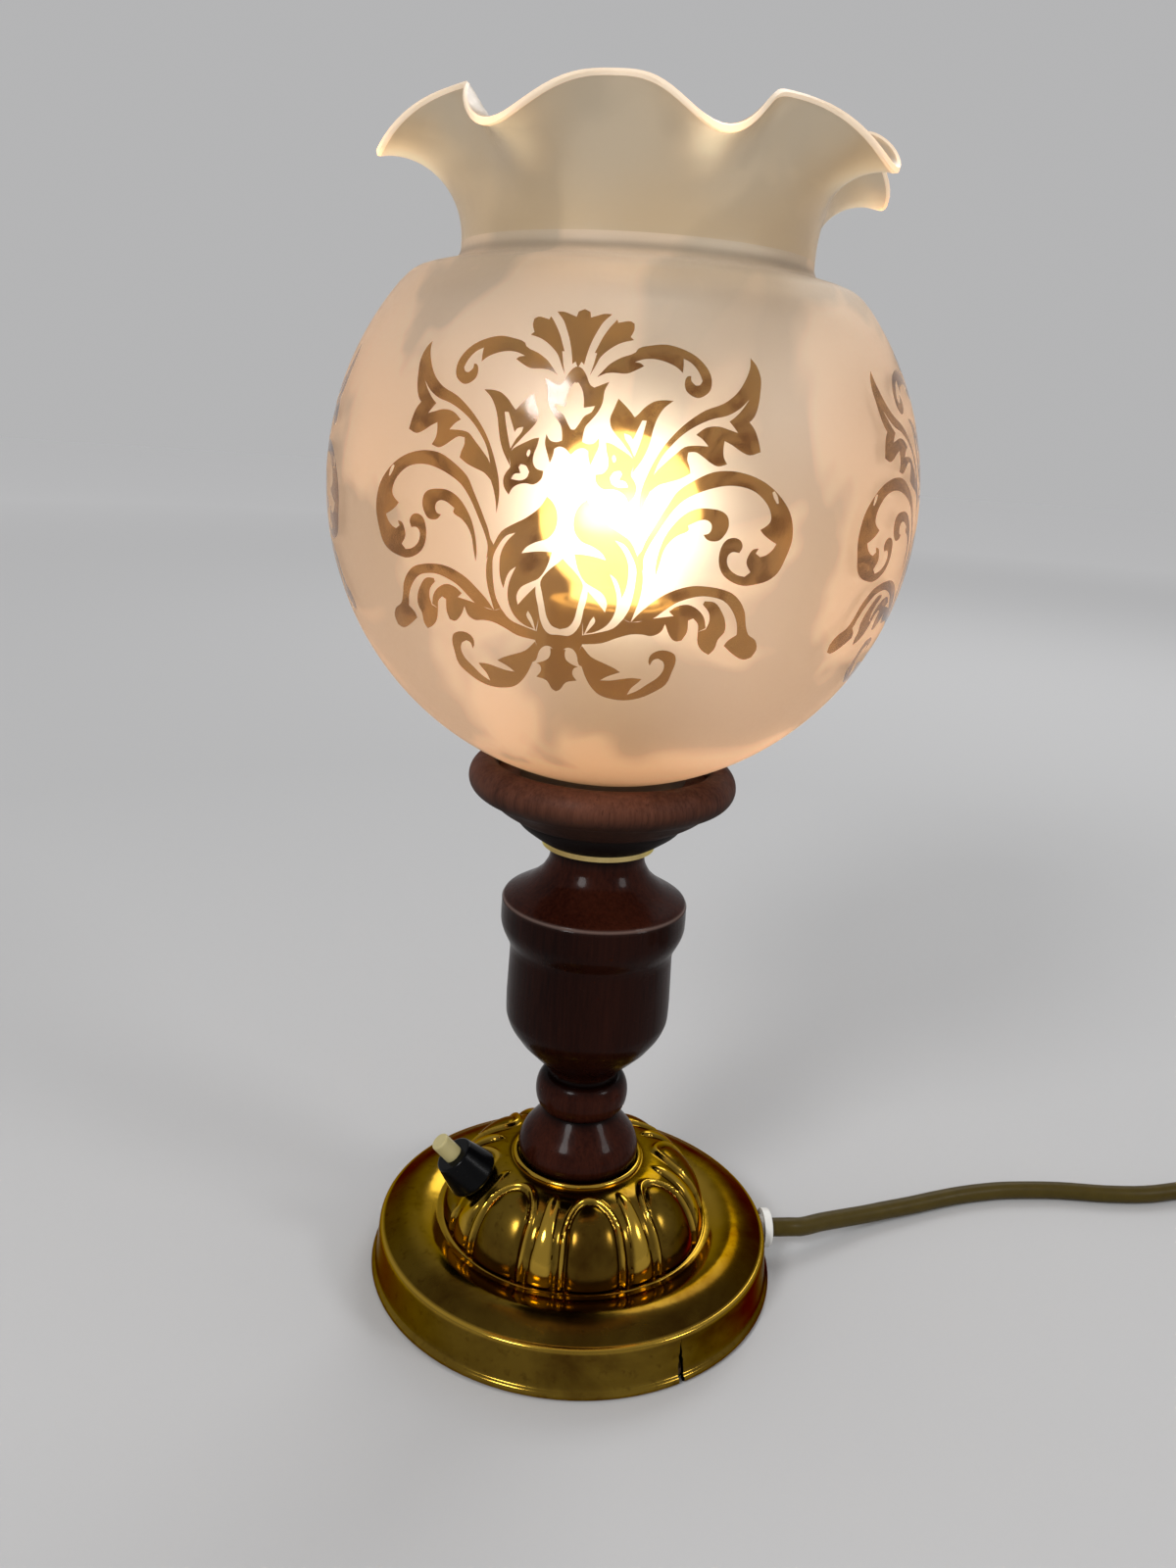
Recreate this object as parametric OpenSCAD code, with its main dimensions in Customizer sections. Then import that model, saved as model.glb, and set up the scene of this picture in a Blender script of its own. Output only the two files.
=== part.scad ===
// Table lamp: fluted brass foot, turned wooden stem and cup, frosted glass globe with a ruffled rim.
// Millimetres, +Z up. The origin is on the table, under the middle of the foot.

/* [Foot] */
// Diameter over the rolled rim
foot_d = 130; // [122:1:140]
// Diameter of the rolled rim's bead
bead_d = 2.8; // [2:0.1:3.6]
// Height of the ridge above the table
skirt_h = 15; // [14:0.5:20]
// How far the skirt leans in from the rim to the ridge
skirt_in = 2.4; // [1:0.1:4]
// Thickness of the brass sheet
sheet_t = 1; // [0.6:0.1:1.4]
// Rise of the valley at the dome's foot above the ridge
valley_rise = 2.8; // [1:0.1:5]
// Extra rise of the shoulder's crown between ridge and valley
crown_h = 2.6; // [1:0.1:4]
// Diameter of the dome at its foot, without the relief
dome_d = 82; // [76:1:88]
// Height of the dome above the valley
dome_h = 21; // [19:0.5:26]
// Diameter of the dome's flat top
dome_top_d = 44.8; // [43:0.2:48]
// Number of tongues pressed into the dome
tongues = 8; // [6:1:10]
// Height of the tongues' relief
tongue_h = 1.8; // [0.6:0.1:2.4]
// Diameter over the collar bead around the stem
collar_d = 41.6; // [40.4:0.1:43]

/* [Inside the foot] */
// Thickness of the felt
felt_t = 1; // [0.5:0.1:2]
// Thickness of the closing board
board_t = 2; // [1.5:0.5:3]
// Diameter of the ballast plate
weight_d = 104; // [90:1:106]
// Thickness of the ballast plate
weight_t = 5.5; // [4:0.5:6]
// Diameter of the ballast's hub
hub_d = 28; // [26:1:30]

/* [Stem] */
// Largest diameter of the stem's foot
stem_foot_d = 38.2; // [34:0.2:38.8]
// Height of the stem's foot
stem_foot_h = 17.5; // [14:0.5:22]
// Diameter of the bead above the foot
stem_bead_d = 29; // [27:0.5:33]
// Height of the bead
stem_bead_h = 12.2; // [10:0.2:16]
// Diameter of the grooves beside the bead
quirk_d = 22.4; // [20:0.2:25]
// Diameter of the urn
urn_d = 50.4; // [46:0.2:53]
// Height of the urn's rounded bowl
bowl_h = 26.6; // [20:0.2:34]
// Height of the urn's straight wall
urn_wall_h = 14; // [8:0.5:20]
// Diameter of the shoulder band
shoulder_d = 56; // [54:0.2:60]
// Height of the shoulder band
shoulder_h = 17; // [13:0.5:22]
// Height of the slope from the shoulder to the neck
slope_h = 13.5; // [10:0.5:18]
// Diameter of the neck
neck_d = 28.4; // [24:0.2:32]
// Height of the neck
neck_h = 3.8; // [2:0.2:6]

/* [Washer and cup] */
// Diameter of the brass washer under the cup
washer_d = 33.6; // [32:0.2:36]
// Thickness of the brass washer
washer_t = 1.6; // [1:0.1:3]
// Largest diameter of the cup's ring
cup_d = 78.4; // [77:0.2:84]
// Height of the cup
cup_h = 24.6; // [22:0.2:27]
// Diameter at the step under the ring
cup_step_d = 50; // [46:0.5:54]
// Height of the bowl under the step
cup_bowl_h = 7; // [5:0.1:8]
// Depth of the glass seat below the cup's top
seat_depth = 5; // [4.6:0.1:6]
// Depth of the well below the glass seat
well_depth = 9; // [7.5:0.5:10]
// Diameter of the well
well_d = 42; // [40:0.5:50]

/* [Glass] */
// Outer diameter of the glass foot that stands in the cup
fitter_d = 60; // [57:0.5:61]
// Largest diameter of the globe
globe_d = 159.6; // [150:0.2:170]
// Half height of the globe's ellipse
globe_half_h = 77.6; // [74:0.2:82]
// Height of the globe's middle above the seat
globe_mid_h = 80; // [76:0.5:84]
// Wall thickness
glass_t = 2.4; // [1.6:0.1:3]
// Outer diameter of the neck below the ruffle
glass_neck_d = 92; // [84:1:98]
// Length of the flared edge along the glass
flare_l = 31; // [24:0.5:36]
// Number of ruffles
ruffles = 8; // [6:1:10]
// Turn of the edge at a crest, in degrees
crest_turn = 38; // [25:1:50]
// Turn of the edge at a trough, in degrees
trough_turn = 104; // [80:1:115]
// Direction of one trough, in degrees from +X
trough_at = 14.5; // [0:0.5:45]

/* [Tube and lampholder] */
// Outer diameter of the threaded tube
tube_d = 10; // [9.4:0.1:10.4]
// Bore of the threaded tube
tube_bore_d = 7.2; // [6.6:0.1:7.8]
// Width of the nuts across flats
nut_af = 17; // [15:0.5:18]
// Thickness of the nuts
nut_t = 5; // [4:0.5:5.5]
// Diameter of the steel washers
clamp_d = 21; // [19:0.5:22]
// Thickness of the steel washers
clamp_t = 1.5; // [1:0.1:2]
// Diameter of the lampholder
holder_d = 39.6; // [37.4:0.2:39.8]
// Height of the lampholder's cap
holder_cap_h = 19; // [17:0.5:22]
// Height of the lampholder's shell
holder_shell_h = 34.5; // [32:0.5:40]
// Wall of the lampholder
holder_t = 1.8; // [1.4:0.1:2.2]

/* [Bulb] */
// Diameter of the round bulb
bulb_d = 45; // [40:1:50]
// Length of the bulb from its tip to the top
bulb_l = 70.5; // [68:0.5:78]
// Diameter of the screw cap
bulb_cap_d = 26.2; // [25.6:0.1:26.6]
// Clear height that the bulb is lifted when it is taken out
bulb_lift = 30; // [26:1:40]

/* [Switch] */
// Direction of the switch on the dome, in degrees from +X
switch_at = 199; // [190:1:210]
// Angle of the switch's axis above the table
switch_tilt = 50; // [45:1:55]
// Diameter of the nut's foot
switch_nut_d = 17; // [15.6:0.2:18]
// Diameter of the nut's top
switch_nut_top_d = 12.6; // [11.6:0.2:14]
// Height of the nut
switch_nut_h = 11.5; // [10:0.5:14]
// Diameter of the threaded bush
bush_d = 10; // [9:0.2:10.6]
// Diameter of the push button
plunger_d = 5.9; // [5:0.1:6.4]
// Height of the push button above the nut
plunger_out = 7; // [5:0.5:9]
// Travel of the push button
plunger_travel = 3; // [2:0.5:3.5]
// Diameter of the switch body
switch_d = 16; // [15:0.5:17]
// Depth of the switch body behind the bush
switch_l = 13.5; // [13:0.5:15]

/* [Cord] */
// Diameter of the flex
cord_d = 6.1; // [5.6:0.1:6.4]
// Direction of the flex where it leaves, in degrees from +X
cord_at = 8; // [0:1:15]
// Diameter of the grommet's flange
grommet_d = 12.6; // [12:0.2:14]
// How far the grommet stands out
grommet_out = 2.8; // [2:0.1:4]
// Diameter of an insulated core
core_d = 2.2; // [1.8:0.1:2.4]
// Diameter across the middle of the coil's turns
coil_mid_d = 73; // [66:1:78]
// Free gap between neighbouring turns
turn_gap = 0.5; // [0.45:0.05:1]
// Whole turns in the coil
coil_turns = 6; // [5:1:7]

/* [Hidden] */
$fn = 64;

// Clearances: between fixed pieces, around the tube, of the push button, and under the lifted pieces
fit = 0.2;
tube_fit = 0.2;
slide_fit = 0.08;
seat_fit = 0.3;

// Foot
bead_r = bead_d / 2;
foot_r = foot_d / 2;
skirt_r = foot_r - 1;
ridge_r = foot_r - skirt_in;
ridge_step = 1.2;
valley_z = skirt_h + valley_rise;
valley_w = 3.4;
dome_r = dome_d / 2;
dome_top_r = dome_top_d / 2;
valley_r = dome_r + valley_w;
dome_z = valley_z + dome_h;
dome_wide = dome_r - dome_top_r;
collar_bead_r = 1;

// Inside the foot; the flex passes over the board
cord_r = cord_d / 2;
hole_r = cord_r + 1.2;
grommet_lip = 0.7;
cord_z = max(felt_t + board_t + hole_r + grommet_lip + 0.55, bead_d + grommet_d / 2 + 0.1);
board_z = felt_t;
weight_z = felt_t + board_t + fit;
weight_top_z = weight_z + weight_t;
hub_top_z = dome_z - sheet_t;
well_top_z = weight_z + 11.3;
nut_well_r = clamp_d / 2 + 1;
slot_w = cord_d + 3;
slot_top_z = cord_z + cord_d / 2 + 0.6;
lower_clamp_z = well_top_z - clamp_t;
lower_nut_z = lower_clamp_z - nut_t;

// Stem, from the dome's flat top upwards
bore_r = tube_d / 2 + tube_fit;
quirk_r = quirk_d / 2;
bead_z = dome_z + stem_foot_h;
quirk_h = 0.9;
urn_z = bead_z + stem_bead_h + quirk_h;
urn_mid_z = urn_z + bowl_h;
shoulder_z = urn_mid_z + urn_wall_h;
slope_z = shoulder_z + shoulder_h;
neck_z = slope_z + slope_h;
stem_top_z = neck_z + neck_h;

// Cup
cup_z = stem_top_z + washer_t;
cup_top_z = cup_z + cup_h;
seat_z = cup_top_z - seat_depth;
well_z = seat_z - well_depth;
seat_r = fitter_d / 2 + 0.9;
ring_mid_z = cup_top_z - 5.9;
ring_drop = 5.25;
lip_w = 2.5;
lip_h = 2.2;

// Tube and lampholder
tube_r = tube_d / 2;
tube_z = lower_nut_z - 1;
upper_nut_z = well_z + clamp_t;
holder_z = upper_nut_z + nut_t + fit;
tube_top_z = holder_z + 7;
shell_z = holder_z + holder_cap_h;
holder_top_z = shell_z + holder_shell_h;
holder_r = holder_d / 2;
core_z = shell_z + fit;
core_h = 8.3;
thread_z = core_z + core_h;
contact_t = 0.8;
contact_rise = 0.8;
cap_r = bulb_cap_d / 2;
thread_r = cap_r + 0.6;
thread_t = 0.5;

// Bulb
tip_z = thread_z + contact_t + contact_rise + seat_fit;
tip_h = 1.2;
insulator_h = 4.3;
cap_h = 19.5;
cap_t = 0.5;
insulator_z = tip_z + tip_h;
cap_z = insulator_z + insulator_h;
cap_top_z = cap_z + cap_h;
bulb_r = bulb_d / 2;
bulb_mid_z = tip_z + bulb_l - bulb_r;
bulb_t = 0.8;
bulb_neck_r = cap_r - cap_t - 0.1;
filament_r = 7;

// Glass
glass_z = seat_z + seat_fit;
globe_z = seat_z + globe_mid_h;
globe_r = globe_d / 2;
fitter_r = fitter_d / 2;
glass_neck_r = glass_neck_d / 2;
globe_low = -55;
globe_high = 41;
crease_rise = 6.2;
neck_rise = 5.3;
foot_band_h = 2.8;
roll_in = 4.2;
roll_up = 3.6;
crease_out = 2.6;
crease_edge = 0.3;
crease_up = 2.2;
crease_z = globe_z + globe_half_h * sin(globe_high) + crease_rise;
flare_z = crease_z + neck_rise;

// Switch: its place on the dome's surface and its lengths along its own axis
switch_turn = atan(dome_h / dome_wide * tan(switch_tilt));
switch_r = dome_top_r + dome_wide * cos(switch_turn);
switch_z = valley_z + dome_h * sin(switch_turn);
switch_pos = [switch_r * cos(switch_at), switch_r * sin(switch_at), switch_z];
bush_r = bush_d / 2;
plunger_r = plunger_d / 2;
flange_r = plunger_r + 1.7;
body_top = -sheet_t - 2.6;
cavity_top = body_top - 1.2;
cavity_r = flange_r + 0.8;
flange_t = 1.5;
flange_top = cavity_top - fit;
cavity_l = flange_t + plunger_travel + 5;
bush_top = switch_nut_h - 2.4;
spring_wire_r = 0.4;
spring_turns = 4;
terminal_h = 4;

// Cord, where it leaves the skirt
wall_r = skirt_r + (ridge_r - skirt_r) * cord_z / skirt_h;
grommet_gap = 0.7;
grommet_face = wall_r + grommet_gap + grommet_out;
inner_end = 44;
cord_dir = [cos(cord_at), sin(cord_at), 0];
cord_exit = grommet_face * cord_dir + [0, 0, cord_z];

// Coil: the lead runs in along the tangent at coil_from, and the tail leaves at coil_to
coil_mid = [296, 30.5];
coil_lift = 1;
coil_from = 107.5;
coil_to = -30;
turn_pitch = cord_d + turn_gap;
turns = coil_turns + (coil_from - coil_to) / 360;
coil_in_r = coil_mid_d / 2 - turn_pitch * turns / 4;
coil_out_r = coil_in_r + turn_pitch * turns / 2;
coil_z = coil_lift + cord_r;
coil_loop_steps = 24;
tail_l = 56;
tail_drop_from = 12;
plug_z = 7;

// Route of the lead on the table, between the grommet and the coil
lead_route = [[78, 12.6, 8.1], [85, 17.2, 7.1], [93, 22, 5.8], [101.5, 26.8, 4.6], [110.5, 31.5, 3.9],
    [120, 36, 3.4], [130, 40.8, 3.15], [140, 45, 3.05], [150, 48.2, 3.05], [160, 50.5, 3.05],
    [178, 52.5, 3.05], [196, 52.5, 3.05], [211, 54, 3.05], [225, 58, 3.05], [240, 62.6, 3.2],
    [255, 67.2, 3.6]];

// Routes of the cores inside the foot; the switch's terminals and the lampholder add their ends
live_route = [[36, 12, 12], [22, 20, 12.6], [4, 25, 13], [-14, 20, 14]];
neutral_route = [[34, 6, 6.9], [22, 4.6, 6.4], [10, 3.2, 5.9], [4.6, 2.2, 5.6], [2.2, 1.4, 6.4],
    [1.5, 0.3, 9]];
switched_route = [[-8, -21, 14], [8, -21.5, 13], [22, -15, 12.4], [30, -2, 12], [28.5, 1.5, 10.2],
    [21, 0.6, 7.2], [10, -1.6, 5.9], [1, -1.6, 5.6], [-1.2, -1, 6.6], [-1.5, -0.2, 9]];
core_offset = 1.5;
core_end_r = 9;

// Plain geometry helpers
function unit(v) = v / norm(v);
function arc(mid, rx, rz, from, to, steps) =
    [for (i = [0:steps]) let (a = from + (to - from) * i / steps) mid + [rx * cos(a), rz * sin(a)]];
// A turned curve between two points, from a list of fractions across and up
function along(from, to, shape) =
    [for (f = shape) [from[0] + f[0] * (to[0] - from[0]), from[1] + f[1] * (to[1] - from[1])]];
function smooth(t) = let (s = min(max(t, 0), 1)) s * s * (3 - 2 * s);

// A round tube along a list of points, as one closed solid
function tangents(p) = [for (i = [0:len(p) - 1]) unit(p[min(i + 1, len(p) - 1)] - p[max(i - 1, 0)])];
function across(t) = unit(cross(t, abs(t[2]) > 0.95 ? [1, 0, 0] : [0, 0, 1]));
function carried(n, t) = unit(n - (n * t) * t);
function normals(t) = [for (i = 0, n = across(t[0]); i < len(t);
    i = i + 1, n = carried(n, t[min(i, len(t) - 1)])) n];
module tube(p, r, sides) {
    t = tangents(p);
    n = normals(t);
    last = len(p) - 1;
    points = [for (i = [0:last]) for (k = [0:sides - 1]) let (a = 360 * k / sides)
        p[i] + r * (cos(a) * n[i] + sin(a) * cross(t[i], n[i]))];
    around = [for (i = [0:last - 1]) for (k = [0:sides - 1]) let (m = (k + 1) % sides, b = i * sides)
        each [[b + k, b + m, b + sides + k], [b + m, b + sides + m, b + sides + k]]];
    ends = [[for (k = [sides - 1:-1:0]) k], [for (k = [0:sides - 1]) last * sides + k]];
    polyhedron(points, concat(around, ends));
}

// Closed loop of outlines around the axis: one outline of (r, z) points for each column
module ring_of_outlines(outlines) {
    columns = len(outlines);
    rows = len(outlines[0]);
    points = [for (j = [0:columns - 1]) let (a = 360 * j / columns) for (q = outlines[j])
        [q[0] * cos(a), q[0] * sin(a), q[1]]];
    faces = [for (j = [0:columns - 1]) for (i = [0:rows - 1])
        let (a = j * rows, b = ((j + 1) % columns) * rows, k = (i + 1) % rows)
        each [[a + i, a + k, b + i], [a + k, b + k, b + i]]];
    polyhedron(points, faces);
}

module ring(outer_r, inner_r, h) {
    difference() {
        cylinder(r = outer_r, h = h);
        translate([0, 0, -1]) cylinder(r = inner_r, h = h + 2);
    }
}

// Places children on the switch's axis, with z = 0 on the dome's surface and +z outwards
module on_switch() {
    translate(switch_pos) rotate([0, 90 - switch_tilt, switch_at]) children();
}

// Places children on the cord's axis through the skirt, with +z outwards from the lamp's axis
module on_cord() {
    translate([0, 0, cord_z]) rotate([0, 90, cord_at]) children();
}

// Foot: outline of the plate from the rim to the valley
plate_in_r = ridge_r - ridge_step;
function plate(t) = [plate_in_r + (valley_r - plate_in_r) * t,
    skirt_h + 0.4 + (valley_rise - 0.4) * t + crown_h * sin(180 * t)];
plate_steps = 14;
plate_line = [for (i = [0:plate_steps]) plate(i / plate_steps)];

// Relief of the dome: u is the turn up the dome (0 at its foot, 90 at its top), a the direction
tongue_half = 0.64;
tongue_arch_from = 45;
tongue_arch_to = 82;
dart_half = 0.26;
dart_arch_from = 62;
dart_arch_to = 83;
first_tongue = 280;
function oval(x, y) = let (e = x * x + y * y) e < 1 ? sqrt(1 - e) : 0;
function rise(u, from, to) = max(0, u - from) / (to - from);
function relief(u, a) =
    let (q = ((a - first_tongue) * tongues / 180 + 361) % 2 - 1,
        tongue = oval(q / tongue_half, rise(u, tongue_arch_from, tongue_arch_to)),
        dart = oval((1 - abs(q)) / dart_half, rise(u, dart_arch_from, dart_arch_to)))
    tongue_h * max(tongue, 0.7 * dart);
function dome_at(u, a) =
    let (n = unit([cos(u) / dome_wide, sin(u) / dome_h]),
        flat = [dome_top_r + dome_wide * cos(u), valley_z + dome_h * sin(u)],
        place = [flat[0] * cos(a), flat[0] * sin(a), flat[1]],
        h = relief(u, a) * smooth((norm(place - switch_pos) - 9) / 4))
    flat + n * h;
dome_columns = tongues * 16;
dome_rows = 12;
dome_sunk = 0.6;
module dome_solid() {
    points = [for (j = [0:dome_columns - 1]) let (a = 360 * j / dome_columns)
        for (i = [-1:dome_rows]) let (q = dome_at(90 * max(i, 0) / dome_rows, a))
        [q[0] * cos(a), q[0] * sin(a), i < 0 ? valley_z - dome_sunk : q[1]]];
    rows = dome_rows + 2;
    sides = [for (j = [0:dome_columns - 1]) for (i = [0:rows - 2])
        let (b = j * rows, c = ((j + 1) % dome_columns) * rows)
        each [[b + i, b + i + 1, c + i], [b + i + 1, c + i + 1, c + i]]];
    ends = [[for (j = [0:dome_columns - 1]) j * rows],
        [for (j = [dome_columns - 1:-1:0]) j * rows + rows - 1]];
    polyhedron(points, concat(sides, ends));
}

module base_shell() {
    under_plate = [for (q = plate_line) q - [0, sheet_t]];
    under_dome = arc([dome_top_r - sheet_t, valley_z - sheet_t], dome_wide, dome_h, 0, 90, 14);
    color("darkgoldenrod") difference() {
        union() {
            rotate_extrude() polygon(concat([[0, 0], [skirt_r, 0], [ridge_r, skirt_h]], plate_line,
                [[0, valley_z]]));
            rotate_extrude() translate([foot_r - bead_r, bead_r]) circle(r = bead_r);
            dome_solid();
            rotate_extrude() translate([collar_d / 2 - collar_bead_r, dome_z + 0.4])
                circle(r = collar_bead_r);
        }
        rotate_extrude() polygon(concat([[0, -1], [foot_r - bead_d, -1], [foot_r - bead_d, bead_d],
            [skirt_r - sheet_t, bead_d], [ridge_r - sheet_t, skirt_h - sheet_t]],
            under_plate, under_dome, [[0, dome_z - sheet_t]]));
        translate([0, 0, skirt_h]) cylinder(r = bore_r, h = dome_h + 20);
        on_switch() translate([0, 0, -12]) cylinder(r = bush_r + tube_fit, h = 24);
        on_cord() translate([0, 0, inner_end]) cylinder(r = hole_r + tube_fit, h = foot_r);
    }
}

module base_weight() {
    edge = 1.5;
    color("dimgray") difference() {
        rotate_extrude() polygon([[bore_r, weight_z], [weight_d / 2 - edge, weight_z],
            [weight_d / 2, weight_z + edge], [weight_d / 2, weight_top_z - edge],
            [weight_d / 2 - edge, weight_top_z], [hub_d / 2 + edge, weight_top_z],
            [hub_d / 2, weight_top_z + edge], [hub_d / 2, hub_top_z], [bore_r, hub_top_z]]);
        translate([0, 0, weight_z - 1]) cylinder(r = nut_well_r, h = well_top_z - weight_z + 1);
        rotate([0, 0, cord_at]) translate([0, -slot_w / 2, weight_z - 1])
            cube([weight_d, slot_w, slot_top_z - weight_z + 1]);
    }
}

module bottom_board() {
    color("saddlebrown") translate([0, 0, board_z]) cylinder(r = foot_r - bead_d - fit, h = board_t);
}

module felt_pad() {
    color("darkgreen") cylinder(r = foot_r - bead_d - 2 * fit, h = felt_t);
}

// Turned curves of the stem and the cup, as fractions across and up
foot_curve = [[0.8, 0], [0.95, 0.12], [1, 0.2], [1, 0.26], [0.97, 0.33], [0.91, 0.41], [0.79, 0.53],
    [0.61, 0.64], [0.41, 0.75], [0.21, 0.86], [0.03, 0.97]];
bowl_curve = [[0, 0], [0.024, 0.06], [0.092, 0.098], [0.23, 0.173], [0.372, 0.248], [0.508, 0.323],
    [0.64, 0.398], [0.743, 0.474], [0.843, 0.549], [0.917, 0.624], [0.967, 0.699], [0.993, 0.774], [1, 1]];
cove_curve = [[0, 0], [0.03, 0.12], [0.08, 0.2], [0.16, 0.3], [0.3, 0.4], [0.46, 0.5], [0.61, 0.6],
    [0.75, 0.7], [0.86, 0.8], [0.94, 0.9], [0.99, 1]];
slope_curve = [[0.02, 0], [0.045, 0.05], [0.1, 0.09], [0.2, 0.15], [0.32, 0.222], [0.44, 0.296],
    [0.55, 0.37], [0.64, 0.444], [0.725, 0.519], [0.8, 0.593], [0.855, 0.667], [0.9, 0.741],
    [0.94, 0.815], [0.975, 0.89], [1, 1]];
cup_curve = [[0, 0], [0.22, 0.157], [0.4, 0.3], [0.57, 0.443], [0.75, 0.6], [0.89, 0.757], [0.97, 0.9],
    [1, 1]];
ring_curve = [[0, 0], [0.19, 0.15], [0.36, 0.3], [0.51, 0.45], [0.63, 0.6], [0.76, 0.75], [0.9, 0.9],
    [1, 1]];

module stem() {
    cove_h = 10;
    urn_r = urn_d / 2;
    waist_r = urn_r - 0.4;
    band_r = shoulder_d / 2;
    color("maroon") rotate_extrude() polygon(concat(
        [[bore_r, dome_z]],
        along([quirk_r, dome_z], [stem_foot_d / 2, bead_z], foot_curve),
        arc([quirk_r, bead_z + stem_bead_h / 2], stem_bead_d / 2 - quirk_r, stem_bead_h / 2, -90, 90, 12),
        along([quirk_r, urn_z], [urn_r, urn_mid_z], bowl_curve),
        along([waist_r, shoulder_z], [band_r, shoulder_z + cove_h], cove_curve),
        [[band_r, shoulder_z + 0.76 * shoulder_h], [band_r - 0.1, shoulder_z + 0.93 * shoulder_h]],
        along([band_r, slope_z], [neck_d / 2, neck_z], slope_curve),
        [[neck_d / 2, stem_top_z], [bore_r, stem_top_z]]));
}

module neck_washer() {
    color("gold") translate([0, 0, stem_top_z]) ring(washer_d / 2, bore_r, washer_t);
}

module gallery_cup() {
    step_r = cup_step_d / 2;
    ring_r = cup_d / 2;
    foot_r1 = washer_d / 2 + 0.2;
    step_z = cup_z + cup_bowl_h;
    lip_r = seat_r + lip_w;
    under = [lip_r + 0.342 * (ring_r - lip_r), ring_mid_z - 0.94 * ring_drop];
    color("brown") rotate_extrude() polygon(concat(
        [[bore_r, cup_z]],
        along([foot_r1, cup_z], [step_r, step_z], cup_curve),
        along([step_r + 0.2, step_z + 0.1], under, ring_curve),
        arc([lip_r, ring_mid_z], ring_r - lip_r, ring_drop, -60, 0, 7),
        arc([lip_r, ring_mid_z], ring_r - lip_r, cup_top_z - ring_mid_z, 10, 90, 8),
        arc([lip_r, cup_top_z - lip_h], lip_w, lip_h, 105, 180, 4),
        [[seat_r, seat_z], [well_d / 2, seat_z], [well_d / 2, well_z], [bore_r, well_z]]));
}

module tie_tube() {
    color("silver") translate([0, 0, tube_z]) ring(tube_r, tube_bore_d / 2, tube_top_z - tube_z);
}

module hex_nut() {
    difference() {
        cylinder(r = nut_af / sqrt(3), h = nut_t, $fn = 6);
        translate([0, 0, -1]) cylinder(r = tube_r + 0.05, h = nut_t + 2);
    }
}

module tube_nuts() {
    color("silver") {
        translate([0, 0, lower_nut_z]) hex_nut();
        translate([0, 0, upper_nut_z]) hex_nut();
    }
}

module clamp_washers() {
    color("silver") {
        translate([0, 0, lower_clamp_z]) ring(clamp_d / 2, bore_r, clamp_t);
        translate([0, 0, well_z]) ring(clamp_d / 2, bore_r, clamp_t);
    }
}

module holder_cap() {
    boss_r = tube_r + 3.4;
    boss_h = 10;
    cap_low_h = 8.5;
    color("ivory") rotate_extrude() polygon(concat(
        [[tube_r + 0.05, holder_z], [boss_r + 1, holder_z]],
        arc([boss_r + 1, holder_z + cap_low_h], holder_r - boss_r - 1.8, cap_low_h, -90, 0, 8),
        [[holder_r - 0.8, shell_z], [holder_r - 0.8 - holder_t, shell_z]],
        arc([boss_r + 1, holder_z + cap_low_h], holder_r - boss_r - 1.8 - holder_t,
            cap_low_h - holder_t, 0, -80, 8),
        [[boss_r, holder_z + boss_h], [tube_r + 0.05, holder_z + boss_h]]));
}

module holder_shell() {
    mouth_r = thread_r + thread_t + 0.1;
    mouth_h = 6;
    rib_h = 2;
    color("ivory") rotate_extrude() polygon([[holder_r - 0.8 - holder_t, shell_z],
        [holder_r - 0.8, shell_z], [holder_r - 0.8, shell_z + 8], [holder_r, shell_z + 8],
        [holder_r, shell_z + 8 + rib_h], [holder_r - 1, shell_z + 8 + rib_h],
        [holder_r - 1, holder_top_z - rib_h], [holder_r - 1.6, holder_top_z], [mouth_r, holder_top_z],
        [mouth_r, holder_top_z - mouth_h], [holder_r - 0.8 - holder_t, holder_top_z - mouth_h - 2]]);
}

module holder_core() {
    core_r = holder_r - 0.8 - holder_t - fit;
    color("white") translate([0, 0, core_z]) difference() {
        cylinder(r = core_r, h = core_h);
        for (x = [-core_end_r, core_end_r])
            translate([x, 0, -1]) cylinder(r = core_d / 2 + 0.3, h = core_h - 2);
    }
}

module holder_thread() {
    color("gold") translate([0, 0, thread_z])
        ring(thread_r + thread_t, thread_r, holder_top_z - thread_z - 5);
}

module holder_contact() {
    contact_l = 18;
    contact_w = 5;
    color("gold") translate([0, 0, thread_z]) {
        translate([-contact_l / 2, -contact_w / 2, 0]) cube([contact_l, contact_w, contact_t]);
        translate([0, 0, contact_t / 2]) cylinder(r = contact_w / 2, h = contact_t / 2 + contact_rise);
    }
}

module bulb_glass() {
    throat = asin(bulb_neck_r / bulb_r);
    inner_throat = asin((bulb_neck_r - bulb_t) / (bulb_r - bulb_t));
    neck_z0 = cap_z + 6;
    color("khaki", 0.5) rotate_extrude() polygon(concat(
        [[bulb_neck_r - bulb_t, neck_z0], [bulb_neck_r, neck_z0]],
        arc([0, bulb_mid_z], bulb_r, bulb_r, throat - 90, 90, 28),
        arc([0, bulb_mid_z], bulb_r - bulb_t, bulb_r - bulb_t, 90, inner_throat - 90, 28)));
}

module bulb_cap() {
    shade_l = 1.6;
    color("silver") rotate_extrude() polygon([[cap_r - cap_t - 1, cap_z], [cap_r - 1, cap_z],
        [cap_r, cap_z + shade_l], [cap_r, cap_top_z], [cap_r - cap_t, cap_top_z],
        [cap_r - cap_t, cap_z + shade_l + 0.2], [cap_r - cap_t - 1, cap_z + 0.4]]);
}

module bulb_insulator() {
    color("black") translate([0, 0, insulator_z]) cylinder(r1 = 5, r2 = cap_r - 1.2, h = insulator_h);
}

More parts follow.
